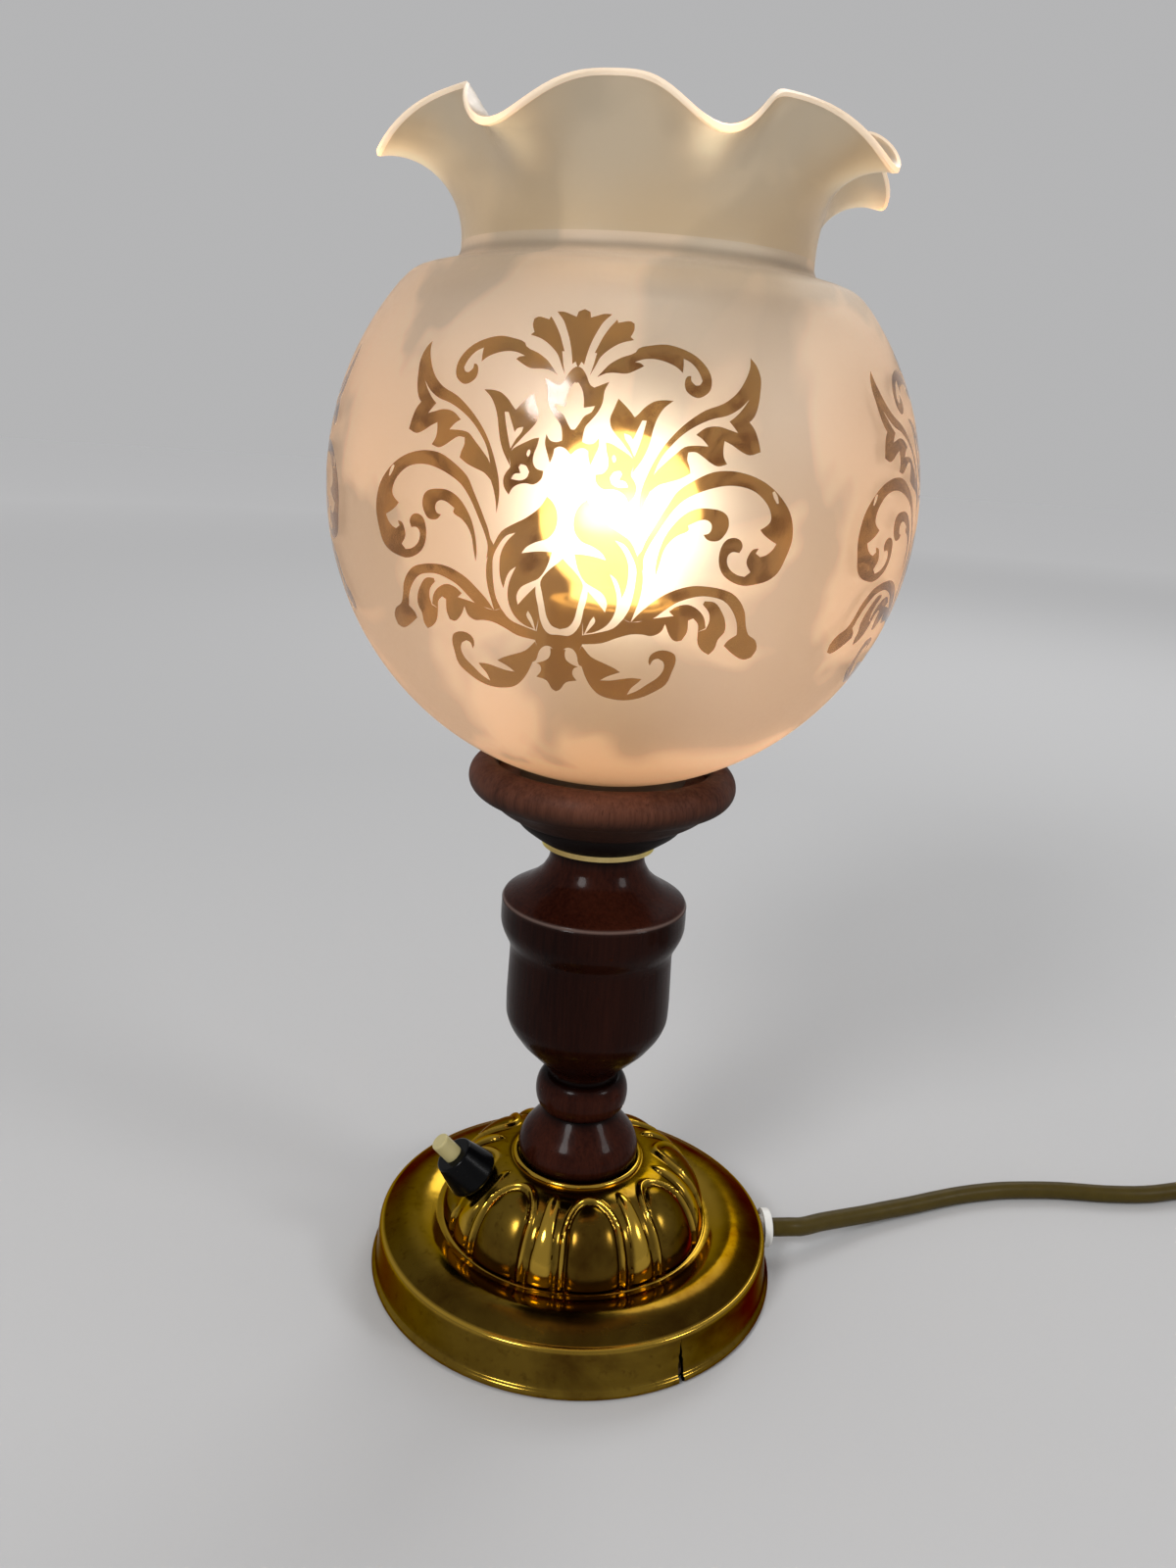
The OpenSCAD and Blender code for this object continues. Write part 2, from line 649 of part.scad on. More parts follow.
module bulb_tip() {
    color("silver") translate([0, 0, tip_z]) cylinder(r1 = 3.4, r2 = 4.6, h = tip_h);
}

module bulb_mount() {
    flare_r = bulb_neck_r - bulb_t - fit;
    flare_z0 = cap_z + 7;
    post_r = 3;
    post_top = bulb_mid_z - 6;
    lead_r = 0.5;
    lead_from = 1.2;
    reach = [filament_r - lead_from, bulb_mid_z - 1.2 - post_top + 2];
    lean = atan2(reach[0], reach[1]);
    lead_l = norm(reach);
    color("lightgray") {
        rotate_extrude() polygon([[0, flare_z0 + 1], [flare_r - 1.4, flare_z0], [flare_r, flare_z0],
            [post_r, flare_z0 + 9], [post_r, post_top - 1], [post_r - 1, post_top], [0, post_top]]);
        for (s = [-1, 1])
            translate([s * lead_from, 0, post_top - 2]) rotate([0, s * lean, 0])
                cylinder(r = lead_r, h = lead_l);
    }
}

module bulb_filament() {
    wire_r = 0.5;
    color("orange") translate([0, 0, bulb_mid_z])
        rotate_extrude(angle = 180) translate([filament_r, 0]) circle(r = wire_r, $fn = 24);
}

// Glass: the outer and inner lines of the globe, then the flare that turns further at the troughs
glass_columns = ruffles * 10;
flare_steps = 6;
ruffle_sharpness = 1.4;
function edge_turn(a) = crest_turn + (trough_turn - crest_turn)
    * pow((1 + cos(ruffles * (a - trough_at))) / 2, ruffle_sharpness);
function flare_at(turn, s, depth) = let (w = turn * PI / 180, b = turn * s)
    [glass_neck_r + flare_l * (1 - cos(b)) / w - depth * cos(b),
        flare_z + flare_l * sin(b) / w + depth * sin(b)];
globe_split = 10;
split_in = asin(globe_half_h * sin(globe_split) / (globe_half_h - glass_t));
function globe_arc(inset, from, to, steps) =
    arc([0, globe_z], globe_r - inset, globe_half_h - inset, from, to, steps);
function globe_at(turn) = [globe_r * cos(turn), globe_z + globe_half_h * sin(turn)];
globe_top = globe_at(globe_high);
foot_top = [fitter_r, glass_z + foot_band_h];
foot_rise = globe_at(globe_low) - foot_top;
foot_mid = foot_top + [0.38 * foot_rise[0], 0.55 * foot_rise[1]];
roll_top = globe_top + [-roll_in, roll_up];
low_outer = concat([[fitter_r, glass_z], foot_top, foot_mid], globe_arc(0, globe_low, globe_split, 7));
low_inner = concat([[fitter_r - glass_t, glass_z],
    [fitter_r - glass_t, glass_z + foot_band_h + 0.35 * glass_t], foot_mid + glass_t * [-0.87, 0.5]],
    globe_arc(glass_t, globe_low + 2, split_in, 7));
high_outer = concat(globe_arc(0, globe_split, globe_high, 4),
    [roll_top, [glass_neck_r + crease_out, crease_z], [glass_neck_r + crease_edge, crease_z + crease_up],
        [glass_neck_r, flare_z]]);
high_inner = concat(globe_arc(glass_t, split_in, globe_high - 3, 4),
    [roll_top + glass_t * [-0.5, -1.4], [glass_neck_r - 0.8 * glass_t, crease_z + 0.25 * glass_t],
        [glass_neck_r - glass_t, flare_z]]);
function reversed(list) = [for (i = [len(list) - 1:-1:0]) list[i]];
function ruffle_line(a) = let (turn = edge_turn(a)) concat(
    [for (i = [0:flare_steps]) flare_at(turn, i / flare_steps, 0)],
    [for (i = [flare_steps:-1:0]) flare_at(turn, i / flare_steps, glass_t)]);

// The glass is one blown piece: its globe, crown and ruffled edge are three solids that meet in level rings
module glass_shade() {
    color("antiquewhite", 0.6) rotate_extrude() polygon(concat(low_outer, reversed(low_inner)));
}

module glass_crown() {
    color("antiquewhite", 0.6) rotate_extrude() polygon(concat(high_outer, reversed(high_inner)));
}

module glass_ruffle() {
    color("antiquewhite", 0.6)
        ring_of_outlines([for (j = [0:glass_columns - 1]) ruffle_line(360 * j / glass_columns)]);
}

module switch_body() {
    bore = plunger_r + slide_fit;
    color("black") on_switch() rotate_extrude() polygon([[0, body_top - switch_l],
        [switch_d / 2, body_top - switch_l], [switch_d / 2, body_top], [bush_r, body_top],
        [bush_r, bush_top], [bore, bush_top], [bore, cavity_top], [cavity_r, cavity_top],
        [cavity_r, cavity_top - cavity_l], [0, cavity_top - cavity_l]]);
}

module switch_nut() {
    nut_r = switch_nut_d / 2;
    top_r = switch_nut_top_d / 2;
    foot_round = 1.6;
    hole = plunger_r + fit;
    color("#1c1c1c") on_switch() rotate_extrude() polygon(concat(
        [[bush_r + 0.05, 0.1], [nut_r - foot_round, 0.1]],
        arc([nut_r - foot_round, 0.1 + foot_round], foot_round, foot_round, -90, 20, 6),
        arc([top_r - 0.8, switch_nut_h - 0.8], 0.8, 0.8, 20, 90, 4),
        [[hole, switch_nut_h], [hole, bush_top + 0.1], [bush_r + 0.05, bush_top + 0.1]]));
}

module switch_plunger() {
    top = switch_nut_h + plunger_out;
    color("ivory") on_switch() rotate_extrude() polygon(concat(
        [[0, flange_top - flange_t], [flange_r, flange_top - flange_t], [flange_r, flange_top],
            [plunger_r, flange_top]],
        arc([plunger_r - 0.7, top - 0.7], 0.7, 0.7, 0, 90, 4), [[0, top]]));
}

module switch_spring() {
    spring_r = flange_r - spring_wire_r - 0.1;
    from = cavity_top - cavity_l + spring_wire_r + 0.05;
    to = flange_top - flange_t - spring_wire_r - 0.05;
    steps = spring_turns * 8;
    color("silver") on_switch() tube([for (i = [0:steps]) let (a = 360 * spring_turns * i / steps)
        [spring_r * cos(a), spring_r * sin(a), from + (to - from) * i / steps]], spring_wire_r, 6);
}

terminal_x = 4.5;
terminal_z = body_top - switch_l;
module switch_terminals() {
    tab = [2.4, 1, terminal_h];
    color("gold") on_switch() for (y = [-terminal_x, terminal_x])
        translate([-tab[0] / 2, y - tab[1] / 2, terminal_z - terminal_h]) cube(tab);
}

module cord_grommet() {
    back = 2.2;
    inner_t = 2.2;
    flange = grommet_d / 2;
    from = wall_r - sheet_t - back - inner_t;
    color("white") on_cord() rotate_extrude() polygon(concat(
        [[cord_r + 0.05, from], [hole_r, from], [hole_r + grommet_lip, from + inner_t],
            [hole_r, from + inner_t], [hole_r, wall_r + grommet_gap], [flange, wall_r + grommet_gap]],
        arc([flange - 1, grommet_face - 1], 1, 1, 0, 90, 5), [[cord_r + 0.05, grommet_face]]));
}

module cord_inner() {
    color("olive") on_cord() translate([0, 0, inner_end])
        cylinder(r = cord_r, h = grommet_face - inner_end);
}

module cord_clamp() {
    clamp_l = 3.6;
    color("black") on_cord() translate([0, 0, wall_r - sheet_t - 9])
        ring(cord_r + 1.8, cord_r + 0.05, clamp_l);
}

// The cores' ends: at the cord's cut end, the switch's tabs, and the lampholder's core
cord_side = [-sin(cord_at), cos(cord_at), 0];
function cord_core(side) = (inner_end - 0.1) * cord_dir + [0, 0, cord_z] + side * core_offset * cord_side;
switch_x = [cos(90 - switch_tilt) * cos(switch_at), cos(90 - switch_tilt) * sin(switch_at),
    -sin(90 - switch_tilt)];
switch_y = [-sin(switch_at), cos(switch_at), 0];
switch_w = [sin(90 - switch_tilt) * cos(switch_at), sin(90 - switch_tilt) * sin(switch_at),
    cos(90 - switch_tilt)];
function terminal(side, out) = switch_pos + switch_y * side * terminal_x
    + switch_w * (terminal_z - terminal_h - out);
function up_the_tube(x) = [[x, 0, tube_z + 6], [x, 0, (tube_z + tube_top_z) / 2], [x, 0, tube_top_z + 1],
    [sign(x) * (core_end_r - 2), 0, shell_z - 3], [sign(x) * core_end_r, 0, shell_z],
    [sign(x) * core_end_r, 0, core_z + 4]];

module wire_live() {
    color("sienna") tube(concat([cord_core(1), cord_core(1) - 4 * cord_dir], live_route,
        [terminal(-1, 5), terminal(-1, 0.2)]), core_d / 2, 6);
}

module wire_neutral() {
    color("steelblue") tube(concat([cord_core(-1), cord_core(-1) - 4 * cord_dir], neutral_route,
        up_the_tube(core_offset)), core_d / 2, 6);
}

module wire_switched() {
    color("black") tube(concat([terminal(1, 0.2), terminal(1, 5)], switched_route,
        up_the_tube(-core_offset)), core_d / 2, 6);
}

// Coil: spirals in on the table, climbs a layer in the middle half turn, and spirals out again
function coil_dir(a) = [sin(a), -cos(a), 0];
function coil_at(t) = let (a = coil_from - 360 * t, r = coil_in_r + turn_pitch * abs(t - turns / 2))
    [coil_mid[0] + r * cos(a), coil_mid[1] + r * sin(a),
        coil_z + turn_pitch * min(max((t - turns / 2) * 2 + 0.5, 0), 1)];
coil_start = coil_at(0) - 1.2 * cord_d * coil_dir(coil_from);
coil_end = coil_at(turns);
coil_steps = floor(turns * coil_loop_steps);
tail_drop_l = tail_l - cord_d * 1.2 - tail_drop_from;
function tail_at(s) = let (p = coil_end + s * coil_dir(coil_to))
    [p[0], p[1], p[2] + (plug_z - p[2]) * smooth((s - tail_drop_from) / tail_drop_l)];
coil_path = concat([coil_start, coil_start + 0.6 * cord_d * coil_dir(coil_from)],
    [for (i = [0:coil_steps]) coil_at(turns * i / coil_steps)],
    [for (s = [6, 12, 18, 24, 30, 36, 42, tail_l - 1.1 * cord_d, tail_l]) tail_at(s)]);
lead_path = concat([cord_exit, cord_exit + 1.2 * cord_d * cord_dir], lead_route,
    [coil_start - 1.15 * cord_d * coil_dir(coil_from), coil_start]);
function path_length(p) = [for (i = [1:len(p) - 1]) norm(p[i] - p[i - 1])] * [for (i = [1:len(p) - 1]) 1];
self_gap = min([for (i = [0:len(coil_path) - 1]) for (j = [i + 12:1:len(coil_path) - 1])
    norm(coil_path[i] - coil_path[j])]) - cord_d;
echo(flex_length = path_length(lead_path) + path_length(coil_path), least_self_gap = self_gap);

module cord_lead() {
    color("olive") tube(lead_path, cord_r, 10);
}

module cord_coil() {
    color("olive") tube(coil_path, cord_r, 6);
}

module rounded_plate(size, r, h) {
    linear_extrude(height = h) union() {
        translate([r, 0]) square([size[0] - 2 * r, size[1]]);
        translate([0, r]) square([size[0], size[1] - 2 * r]);
        for (x = [r, size[0] - r]) for (y = [r, size[1] - r]) translate([x, y]) circle(r = r, $fn = 32);
    }
}

// Strap around the bundle of turns, on the side across from the climb
tie_at = 222;
module coil_tie() {
    strap_t = 0.6;
    strap_w = 9;
    clear = 0.4;
    inside = coil_in_r + turn_pitch * 0.5 - cord_r - 2 * clear;
    outside = coil_out_r - turn_pitch * 0.6 + cord_r + clear;
    low = coil_lift - clear;
    high = coil_lift + turn_pitch + cord_d + clear;
    size = [outside - inside, high - low];
    color("black") translate([coil_mid[0], coil_mid[1], 0]) rotate([0, 0, tie_at])
        translate([inside, strap_w / 2, low]) rotate([90, 0, 0]) difference() {
            translate([-strap_t, -strap_t, 0]) rounded_plate(size + [2, 2] * strap_t, 1.6, strap_w);
            translate([0, 0, -1]) rounded_plate(size, 1, strap_w + 2);
        }
}

// Plug: a flat two-pin body with a ribbed sleeve, lying on the table at the tail's end
plug_at = tail_at(tail_l);
plug_dir = coil_dir(coil_to);
plug_turn = atan2(plug_dir[1], plug_dir[0]);
sleeve_l = 22;
sleeve_ribs = 6;
plug_l = 30;
plug_w = 26;
plug_t = 2 * plug_z;
pin_d = 4;
pin_l = 19;
pin_gap = 18.6;
module on_plug() {
    translate(plug_at) rotate([0, 0, plug_turn]) children();
}

module plug_body() {
    nose = 6;
    waist = 6;
    edge = 3;
    color("#6b5a2e") on_plug() {
        rotate([0, 90, 0]) rotate_extrude() polygon(concat([[0, 0], [cord_r + 1, 0]],
            [for (i = [0:sleeve_ribs - 1]) let (r = cord_r + 0.7 + 0.27 * i, x = 1.8 + 3.2 * i)
                each [[r + 0.5, x], [r, x + 1.6]]],
            [[cord_r + 2.6, sleeve_l + 1], [0, sleeve_l + 1]]));
        translate([sleeve_l, 0, -plug_t / 2]) intersection() {
            linear_extrude(height = plug_t) polygon([[0, -waist], [nose, -plug_w / 2 + 1],
                [nose + 3, -plug_w / 2], [plug_l, -plug_w / 2], [plug_l, plug_w / 2],
                [nose + 3, plug_w / 2], [nose, plug_w / 2 - 1], [0, waist]]);
            translate([0, plug_w, 0]) rotate([90, 0, 0]) linear_extrude(height = 2 * plug_w)
                polygon([[0, edge], [edge, 0], [plug_l, 0], [plug_l, plug_t], [edge, plug_t],
                    [0, plug_t - edge]]);
        }
    }
}

module plug_pins() {
    color("silver") on_plug() for (y = [-pin_gap / 2, pin_gap / 2])
        translate([sleeve_l + plug_l, y, 0]) rotate([0, 90, 0]) {
            cylinder(r = pin_d / 2, h = pin_l - pin_d / 2);
            translate([0, 0, pin_l - pin_d / 2]) sphere(r = pin_d / 2);
        }
}

base_shell();
base_weight();
bottom_board();
felt_pad();
stem();
neck_washer();
gallery_cup();
tie_tube();
tube_nuts();
clamp_washers();
holder_cap();
holder_shell();
holder_core();
holder_thread();
holder_contact();
bulb_glass();
bulb_cap();
bulb_insulator();
bulb_tip();
bulb_mount();
bulb_filament();
glass_shade();
glass_crown();
glass_ruffle();
switch_body();
switch_nut();
switch_plunger();
switch_spring();
switch_terminals();
cord_grommet();
cord_inner();
cord_clamp();
wire_live();
wire_neutral();
wire_switched();
cord_lead();
cord_coil();
coil_tie();
plug_body();
plug_pins();
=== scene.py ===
"""Table lamp with a fluted brass foot, a turned wooden stem and a frosted glass globe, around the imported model.

All shapes are in millimetres until they become meshes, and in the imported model's own frame: z = 0 is the table,
and the lamp's axis is the z axis. Directions are in degrees from +X, anticlockwise.
"""

from math import asin, atan2, cos, degrees, exp, hypot, pi, radians, sin, sqrt

import bpy
import bmesh
import numpy as np
from mathutils import Matrix, Vector
from mathutils.geometry import delaunay_2d_cdt


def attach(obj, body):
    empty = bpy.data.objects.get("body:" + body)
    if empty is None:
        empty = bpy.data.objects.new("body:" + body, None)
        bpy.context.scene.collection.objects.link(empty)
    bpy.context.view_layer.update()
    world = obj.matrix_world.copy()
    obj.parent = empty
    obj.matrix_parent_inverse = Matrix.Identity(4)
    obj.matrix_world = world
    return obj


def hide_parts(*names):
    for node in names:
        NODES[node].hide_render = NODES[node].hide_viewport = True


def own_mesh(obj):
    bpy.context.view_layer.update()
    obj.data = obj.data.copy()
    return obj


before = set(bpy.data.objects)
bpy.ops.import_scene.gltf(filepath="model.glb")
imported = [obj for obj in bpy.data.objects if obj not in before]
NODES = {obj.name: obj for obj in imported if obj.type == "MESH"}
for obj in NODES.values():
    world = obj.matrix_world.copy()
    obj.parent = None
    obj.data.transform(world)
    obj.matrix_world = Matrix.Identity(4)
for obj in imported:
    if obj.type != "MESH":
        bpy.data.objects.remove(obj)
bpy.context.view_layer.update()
MM = 0.001


def ease(t):
    """Smooth step from 0 to 1."""
    s = min(max(t, 0.0), 1.0)
    return s * s * (3 - 2 * s)


def peak(x, at, wide):
    """A bell curve: 1 at one value, and near 0 at twice its width to both sides."""
    return exp(-((x - at) / wide) ** 2)


def turned(angle, r=1.0):
    """The point at this direction and distance from the axis."""
    a = radians(angle)
    return np.array([r * cos(a), r * sin(a)])


def add_object(name, data):
    made = bpy.data.objects.new(name, data)
    bpy.context.scene.collection.objects.link(made)
    return made


# Camera, as found from the photograph: place in mm, and its turns in degrees
CAMERA_AT = (0.0, -352.36, 265.77)
CAMERA_PITCH, CAMERA_YAW, CAMERA_ROLL = 16.328, -0.671, 3.668
FOCAL_PX, IMAGE_H, SENSOR_MM, NEAREST_M = 1270.0, 1600.0, 36.0, 0.01


def add_camera():
    pitch, yaw, roll = (radians(a) for a in (CAMERA_PITCH, CAMERA_YAW, CAMERA_ROLL))
    ahead = Vector((sin(yaw) * cos(pitch), cos(yaw) * cos(pitch), -sin(pitch)))
    level = Vector((cos(yaw), -sin(yaw), 0))
    above = level.cross(ahead)
    right = cos(roll) * level + sin(roll) * above
    up = -sin(roll) * level + cos(roll) * above
    data = bpy.data.cameras.new("camera")
    data.sensor_width = SENSOR_MM
    data.lens = data.sensor_width * FOCAL_PX / IMAGE_H
    data.clip_start = NEAREST_M
    cam = add_object("camera", data)
    cam.matrix_world = Matrix((right, up, -ahead)).transposed().to_4x4()
    cam.location = Vector(CAMERA_AT) * MM
    bpy.context.scene.camera = cam


# Materials. Colours are linear, lengths in noises and bumps are in metres
LOW, HIGH = 0.3, 0.7  # most values of a noise lie between these
MIX_SHARE, MIX_A, MIX_B, MIX_OUT = 0, 6, 7, 2  # sockets of the mix node, for colours
GLASS_IOR = 1.5


def tinted(colour, factor):
    return tuple(min(1.0, factor * c) for c in colour)


class Finish:
    """One procedural material: a Principled shader with the few helpers that the finishes below need."""

    def __init__(self, name, **sockets):
        self.name = name
        self.material = bpy.data.materials.new(name)
        self.material.use_nodes = True
        self.tree = self.material.node_tree
        self.shader = self.tree.nodes["Principled BSDF"]
        self.place = self.build("TexCoord", "Object", {})
        self.put(**sockets)

    def build(self, kind, output, inputs, **values):
        """Makes a node with these inputs, and gives one of its outputs."""
        made = self.tree.nodes.new("ShaderNode" + kind)
        for key, value in values.items():
            setattr(made, key, value)
        for key, value in inputs.items():
            self.join(value, made.inputs[key])
        return made.outputs[output]

    def join(self, value, socket):
        """Links an output, or sets a plain value."""
        if isinstance(value, bpy.types.NodeSocket):
            self.tree.links.new(value, socket)
        elif isinstance(value, tuple) and len(value) == 3 and socket.type == "RGBA":
            socket.default_value = (*value, 1.0)
        else:
            socket.default_value = value

    def put(self, **sockets):
        for key, value in sockets.items():
            self.join(value, self.shader.inputs[key.replace("_", " ")])
        return self

    def noise(self, scale, detail=3.0, rough=0.55, stretch=(1, 1, 1), twist=0.0):
        place = self.build("Mapping", "Vector", {"Scale": stretch, "Vector": self.place})
        return self.build("TexNoise", "Fac", {
            "Scale": scale, "Detail": detail, "Roughness": rough, "Distortion": twist, "Vector": place})

    def attribute(self, name):
        return self.build("Attribute", "Fac", {}, attribute_name=name)

    def span(self, fac, low, high, start=0.0, end=1.0):
        """Maps start..end to low..high."""
        return self.build("MapRange", "Result", {
            "Value": fac, "From Min": start, "From Max": end, "To Min": low, "To Max": high})

    def math(self, kind, a, b):
        return self.build("Math", "Value", {0: a, 1: b}, operation=kind)

    def ramp(self, fac, *stops):
        made = self.tree.nodes.new("ShaderNodeValToRGB")
        line = made.color_ramp
        while len(line.elements) < len(stops):
            line.elements.new(0.5)
        for element, (at, colour) in zip(line.elements, stops):
            element.position = at
            element.color = (*colour, 1.0)
        self.join(fac, made.inputs["Fac"])
        return made.outputs["Color"]

    def mix(self, fac, a, b):
        return self.build("Mix", MIX_OUT, {MIX_SHARE: fac, MIX_A: a, MIX_B: b}, data_type="RGBA")

    def bump(self, height, distance, strength):
        return self.put(Normal=self.build("Bump", "Normal", {
            "Distance": distance, "Strength": strength, "Height": height}))


def aged_brass(name, gold, brown, rough, tarnish=0.5):
    """Lacquered brass that has darkened in patches and with patina in its grooves; marks on its points add painted
    shade and painted highlights.
    """
    made = Finish(name, Metallic=1.0, Specular_Tint=tinted(gold, 2.2))
    patches = made.noise(26, 5, 0.6, twist=0.4)
    specks = made.noise(420, 2, 0.6)
    colour = made.ramp(patches, (0.5 - 0.2 * tarnish, gold), (0.5 + 0.35 * tarnish, brown))
    colour = made.mix(made.span(specks, 0.0, 0.45, 0.58, 0.72), colour, brown)
    # Darker where marked: patina in the grooves, and painted shade and painted dark reflections elsewhere
    colour = made.mix(made.attribute("grime_and_shade"), colour, tinted(brown, 0.28))
    # Brighter where marked: wear on raised edges, and painted highlights
    colour = made.mix(made.attribute("wear_and_highlight"), colour, tinted(gold, 2.0))
    made.put(Base_Color=colour)
    blur = made.span(made.noise(70, 4, 0.6), rough * 0.75, rough * 1.45, LOW, HIGH)
    made.put(Roughness=made.math("ADD", blur, made.span(made.attribute("grime_and_shade"), 0.0, 0.18)))
    return made.bump(made.noise(95, 2, 0.5), 0.00035, 0.35)


def plain_metal(name, light, dark, rough):
    made = Finish(name, Metallic=1.0)
    cloud = made.noise(140, 4, 0.6)
    made.put(Base_Color=made.ramp(cloud, (0.35, light), (0.7, dark)))
    made.put(Roughness=made.span(cloud, rough * 0.8, rough * 1.4, LOW, HIGH))
    return made.bump(made.noise(1200, 2), 0.00004, 0.4)


PAINTED_EDGE_HIGHLIGHT = (0.40, 0.29, 0.25)  # painted highlight along the edges of the wood


def turned_wood(name, dark, light, rough, coat, gloss=0.5, grain=0.00012):
    """Wood with long fibres along the axis, fine pores and an old polish; marks on its points make it darker in its
    quirks and joints, paint shade and shadow on it, and paint a highlight line along edges.
    """
    made = Finish(name, Coat_Weight=coat, Coat_Roughness=0.09, Coat_IOR=1.5, Specular_IOR_Level=gloss)
    bands = made.noise(42, 4, 0.6, (1, 1, 0.22), 0.8)
    fibres = made.noise(900, 4, 0.65, (1, 1, 0.06))
    pores = made.noise(2200, 2, 0.5, (1, 1, 0.05))
    tone = made.math("ADD", made.math("MULTIPLY", bands, 0.6), made.math("MULTIPLY", fibres, 0.4))
    middle = tuple(0.5 * (a + b) for a, b in zip(dark, light))
    colour = made.ramp(tone, (0.36, dark), (0.5, middle), (0.66, light))
    colour = made.mix(made.span(pores, 0.0, 0.6, 0.6, 0.75), colour, tinted(dark, 0.35))
    # Darker where marked: in quirks and joints, and painted shade and painted shadow elsewhere
    colour = made.mix(made.attribute("grime_and_shade"), colour, tinted(dark, 0.12))
    # Lighter where marked: a painted highlight
    made.put(Base_Color=made.mix(made.attribute("wear_and_highlight"), colour, PAINTED_EDGE_HIGHLIGHT))
    made.put(Roughness=made.span(made.noise(60, 4), rough * 0.8, rough * 1.25, LOW, HIGH))
    return made.bump(fibres, grain, 0.5)


def moulded(name, colour, rough, fleck=0.06, coat=0.0, gloss=0.5):
    """Moulded plastic, ceramic or painted iron: one colour with slight clouds and a fine skin."""
    made = Finish(name, Coat_Weight=coat, Coat_Roughness=0.1, Specular_IOR_Level=gloss)
    cloud = made.noise(160, 4, 0.6)
    made.put(Base_Color=made.ramp(cloud, (LOW, tinted(colour, 1 - fleck)), (HIGH, tinted(colour, 1 + fleck))))
    made.put(Roughness=made.span(made.noise(500, 3), rough * 0.85, rough * 1.2, LOW, HIGH))
    return made.bump(made.noise(2600, 2), 0.00003, 0.4)


def felt_cloth(name, colour):
    made = Finish(name, Roughness=0.95, Sheen_Weight=0.3, Sheen_Roughness=0.5)
    fuzz = made.noise(1500, 4, 0.7)
    made.put(Base_Color=made.ramp(fuzz, (LOW, tinted(colour, 0.6)), (HIGH, colour)))
    return made.bump(fuzz, 0.0003, 0.6)


# Colour of the bulb's light as it comes through the glass: near the bulb, far from it, and in the ruffled edge
NEAR_TINT, FAR_TINT, RUFFLE_TINT = (1.0, 0.50, 0.21), (1.0, 0.62, 0.33), (1.0, 0.80, 0.50)


def frosted(name, light, dark, through, rough, glow, tint=NEAR_TINT):
    """Etched glass with painted shadow patches: it scatters what passes, and glows from the bulb inside it."""
    made = Finish(name, IOR=GLASS_IOR, Transmission_Weight=through, Specular_IOR_Level=0.35)
    # Painted shadow patches: greyer clouds on the glass, where its glow is also weaker
    shadow_patches = made.span(made.noise(19, 3, 0.5, (1, 1, 0.9), 0.5), 0.0, 1.0, 0.5, 0.55)
    colour = made.mix(shadow_patches, light, dark)
    # Darker where marked: painted shade
    made.put(Base_Color=made.mix(made.attribute("grime_and_shade"), colour, tinted(dark, 0.45)))
    made.put(Roughness=made.span(made.noise(900, 2), rough, rough + 0.1, LOW, HIGH))
    made.put(Emission_Color=made.ramp(made.attribute("glow"), (0.2, FAR_TINT), (1.0, tint)))
    cloud = made.span(shadow_patches, glow, 0.6 * glow)
    return made.put(Emission_Strength=made.math("MULTIPLY", made.attribute("glow"), cloud))


def clear_glass(name, colour, rough):
    made = Finish(name, IOR=GLASS_IOR, Transmission_Weight=1.0)
    cloud = made.noise(60, 3)
    made.put(Base_Color=made.ramp(cloud, (LOW, colour), (HIGH, tinted(colour, 0.93))))
    made.put(Roughness=made.span(made.noise(300, 3), rough * 0.6, rough * 1.4, LOW, HIGH))
    return made


def lit(name, colour, glow, strength, through=0.0):
    made = Finish(name, Roughness=0.3, Emission_Strength=strength, Transmission_Weight=through)
    cloud = made.noise(80, 2)
    made.put(Base_Color=made.ramp(cloud, (LOW, colour), (HIGH, tinted(colour, 0.95))))
    made.put(Emission_Color=made.ramp(cloud, (LOW, glow), (HIGH, tinted(glow, 0.96))))
    return made


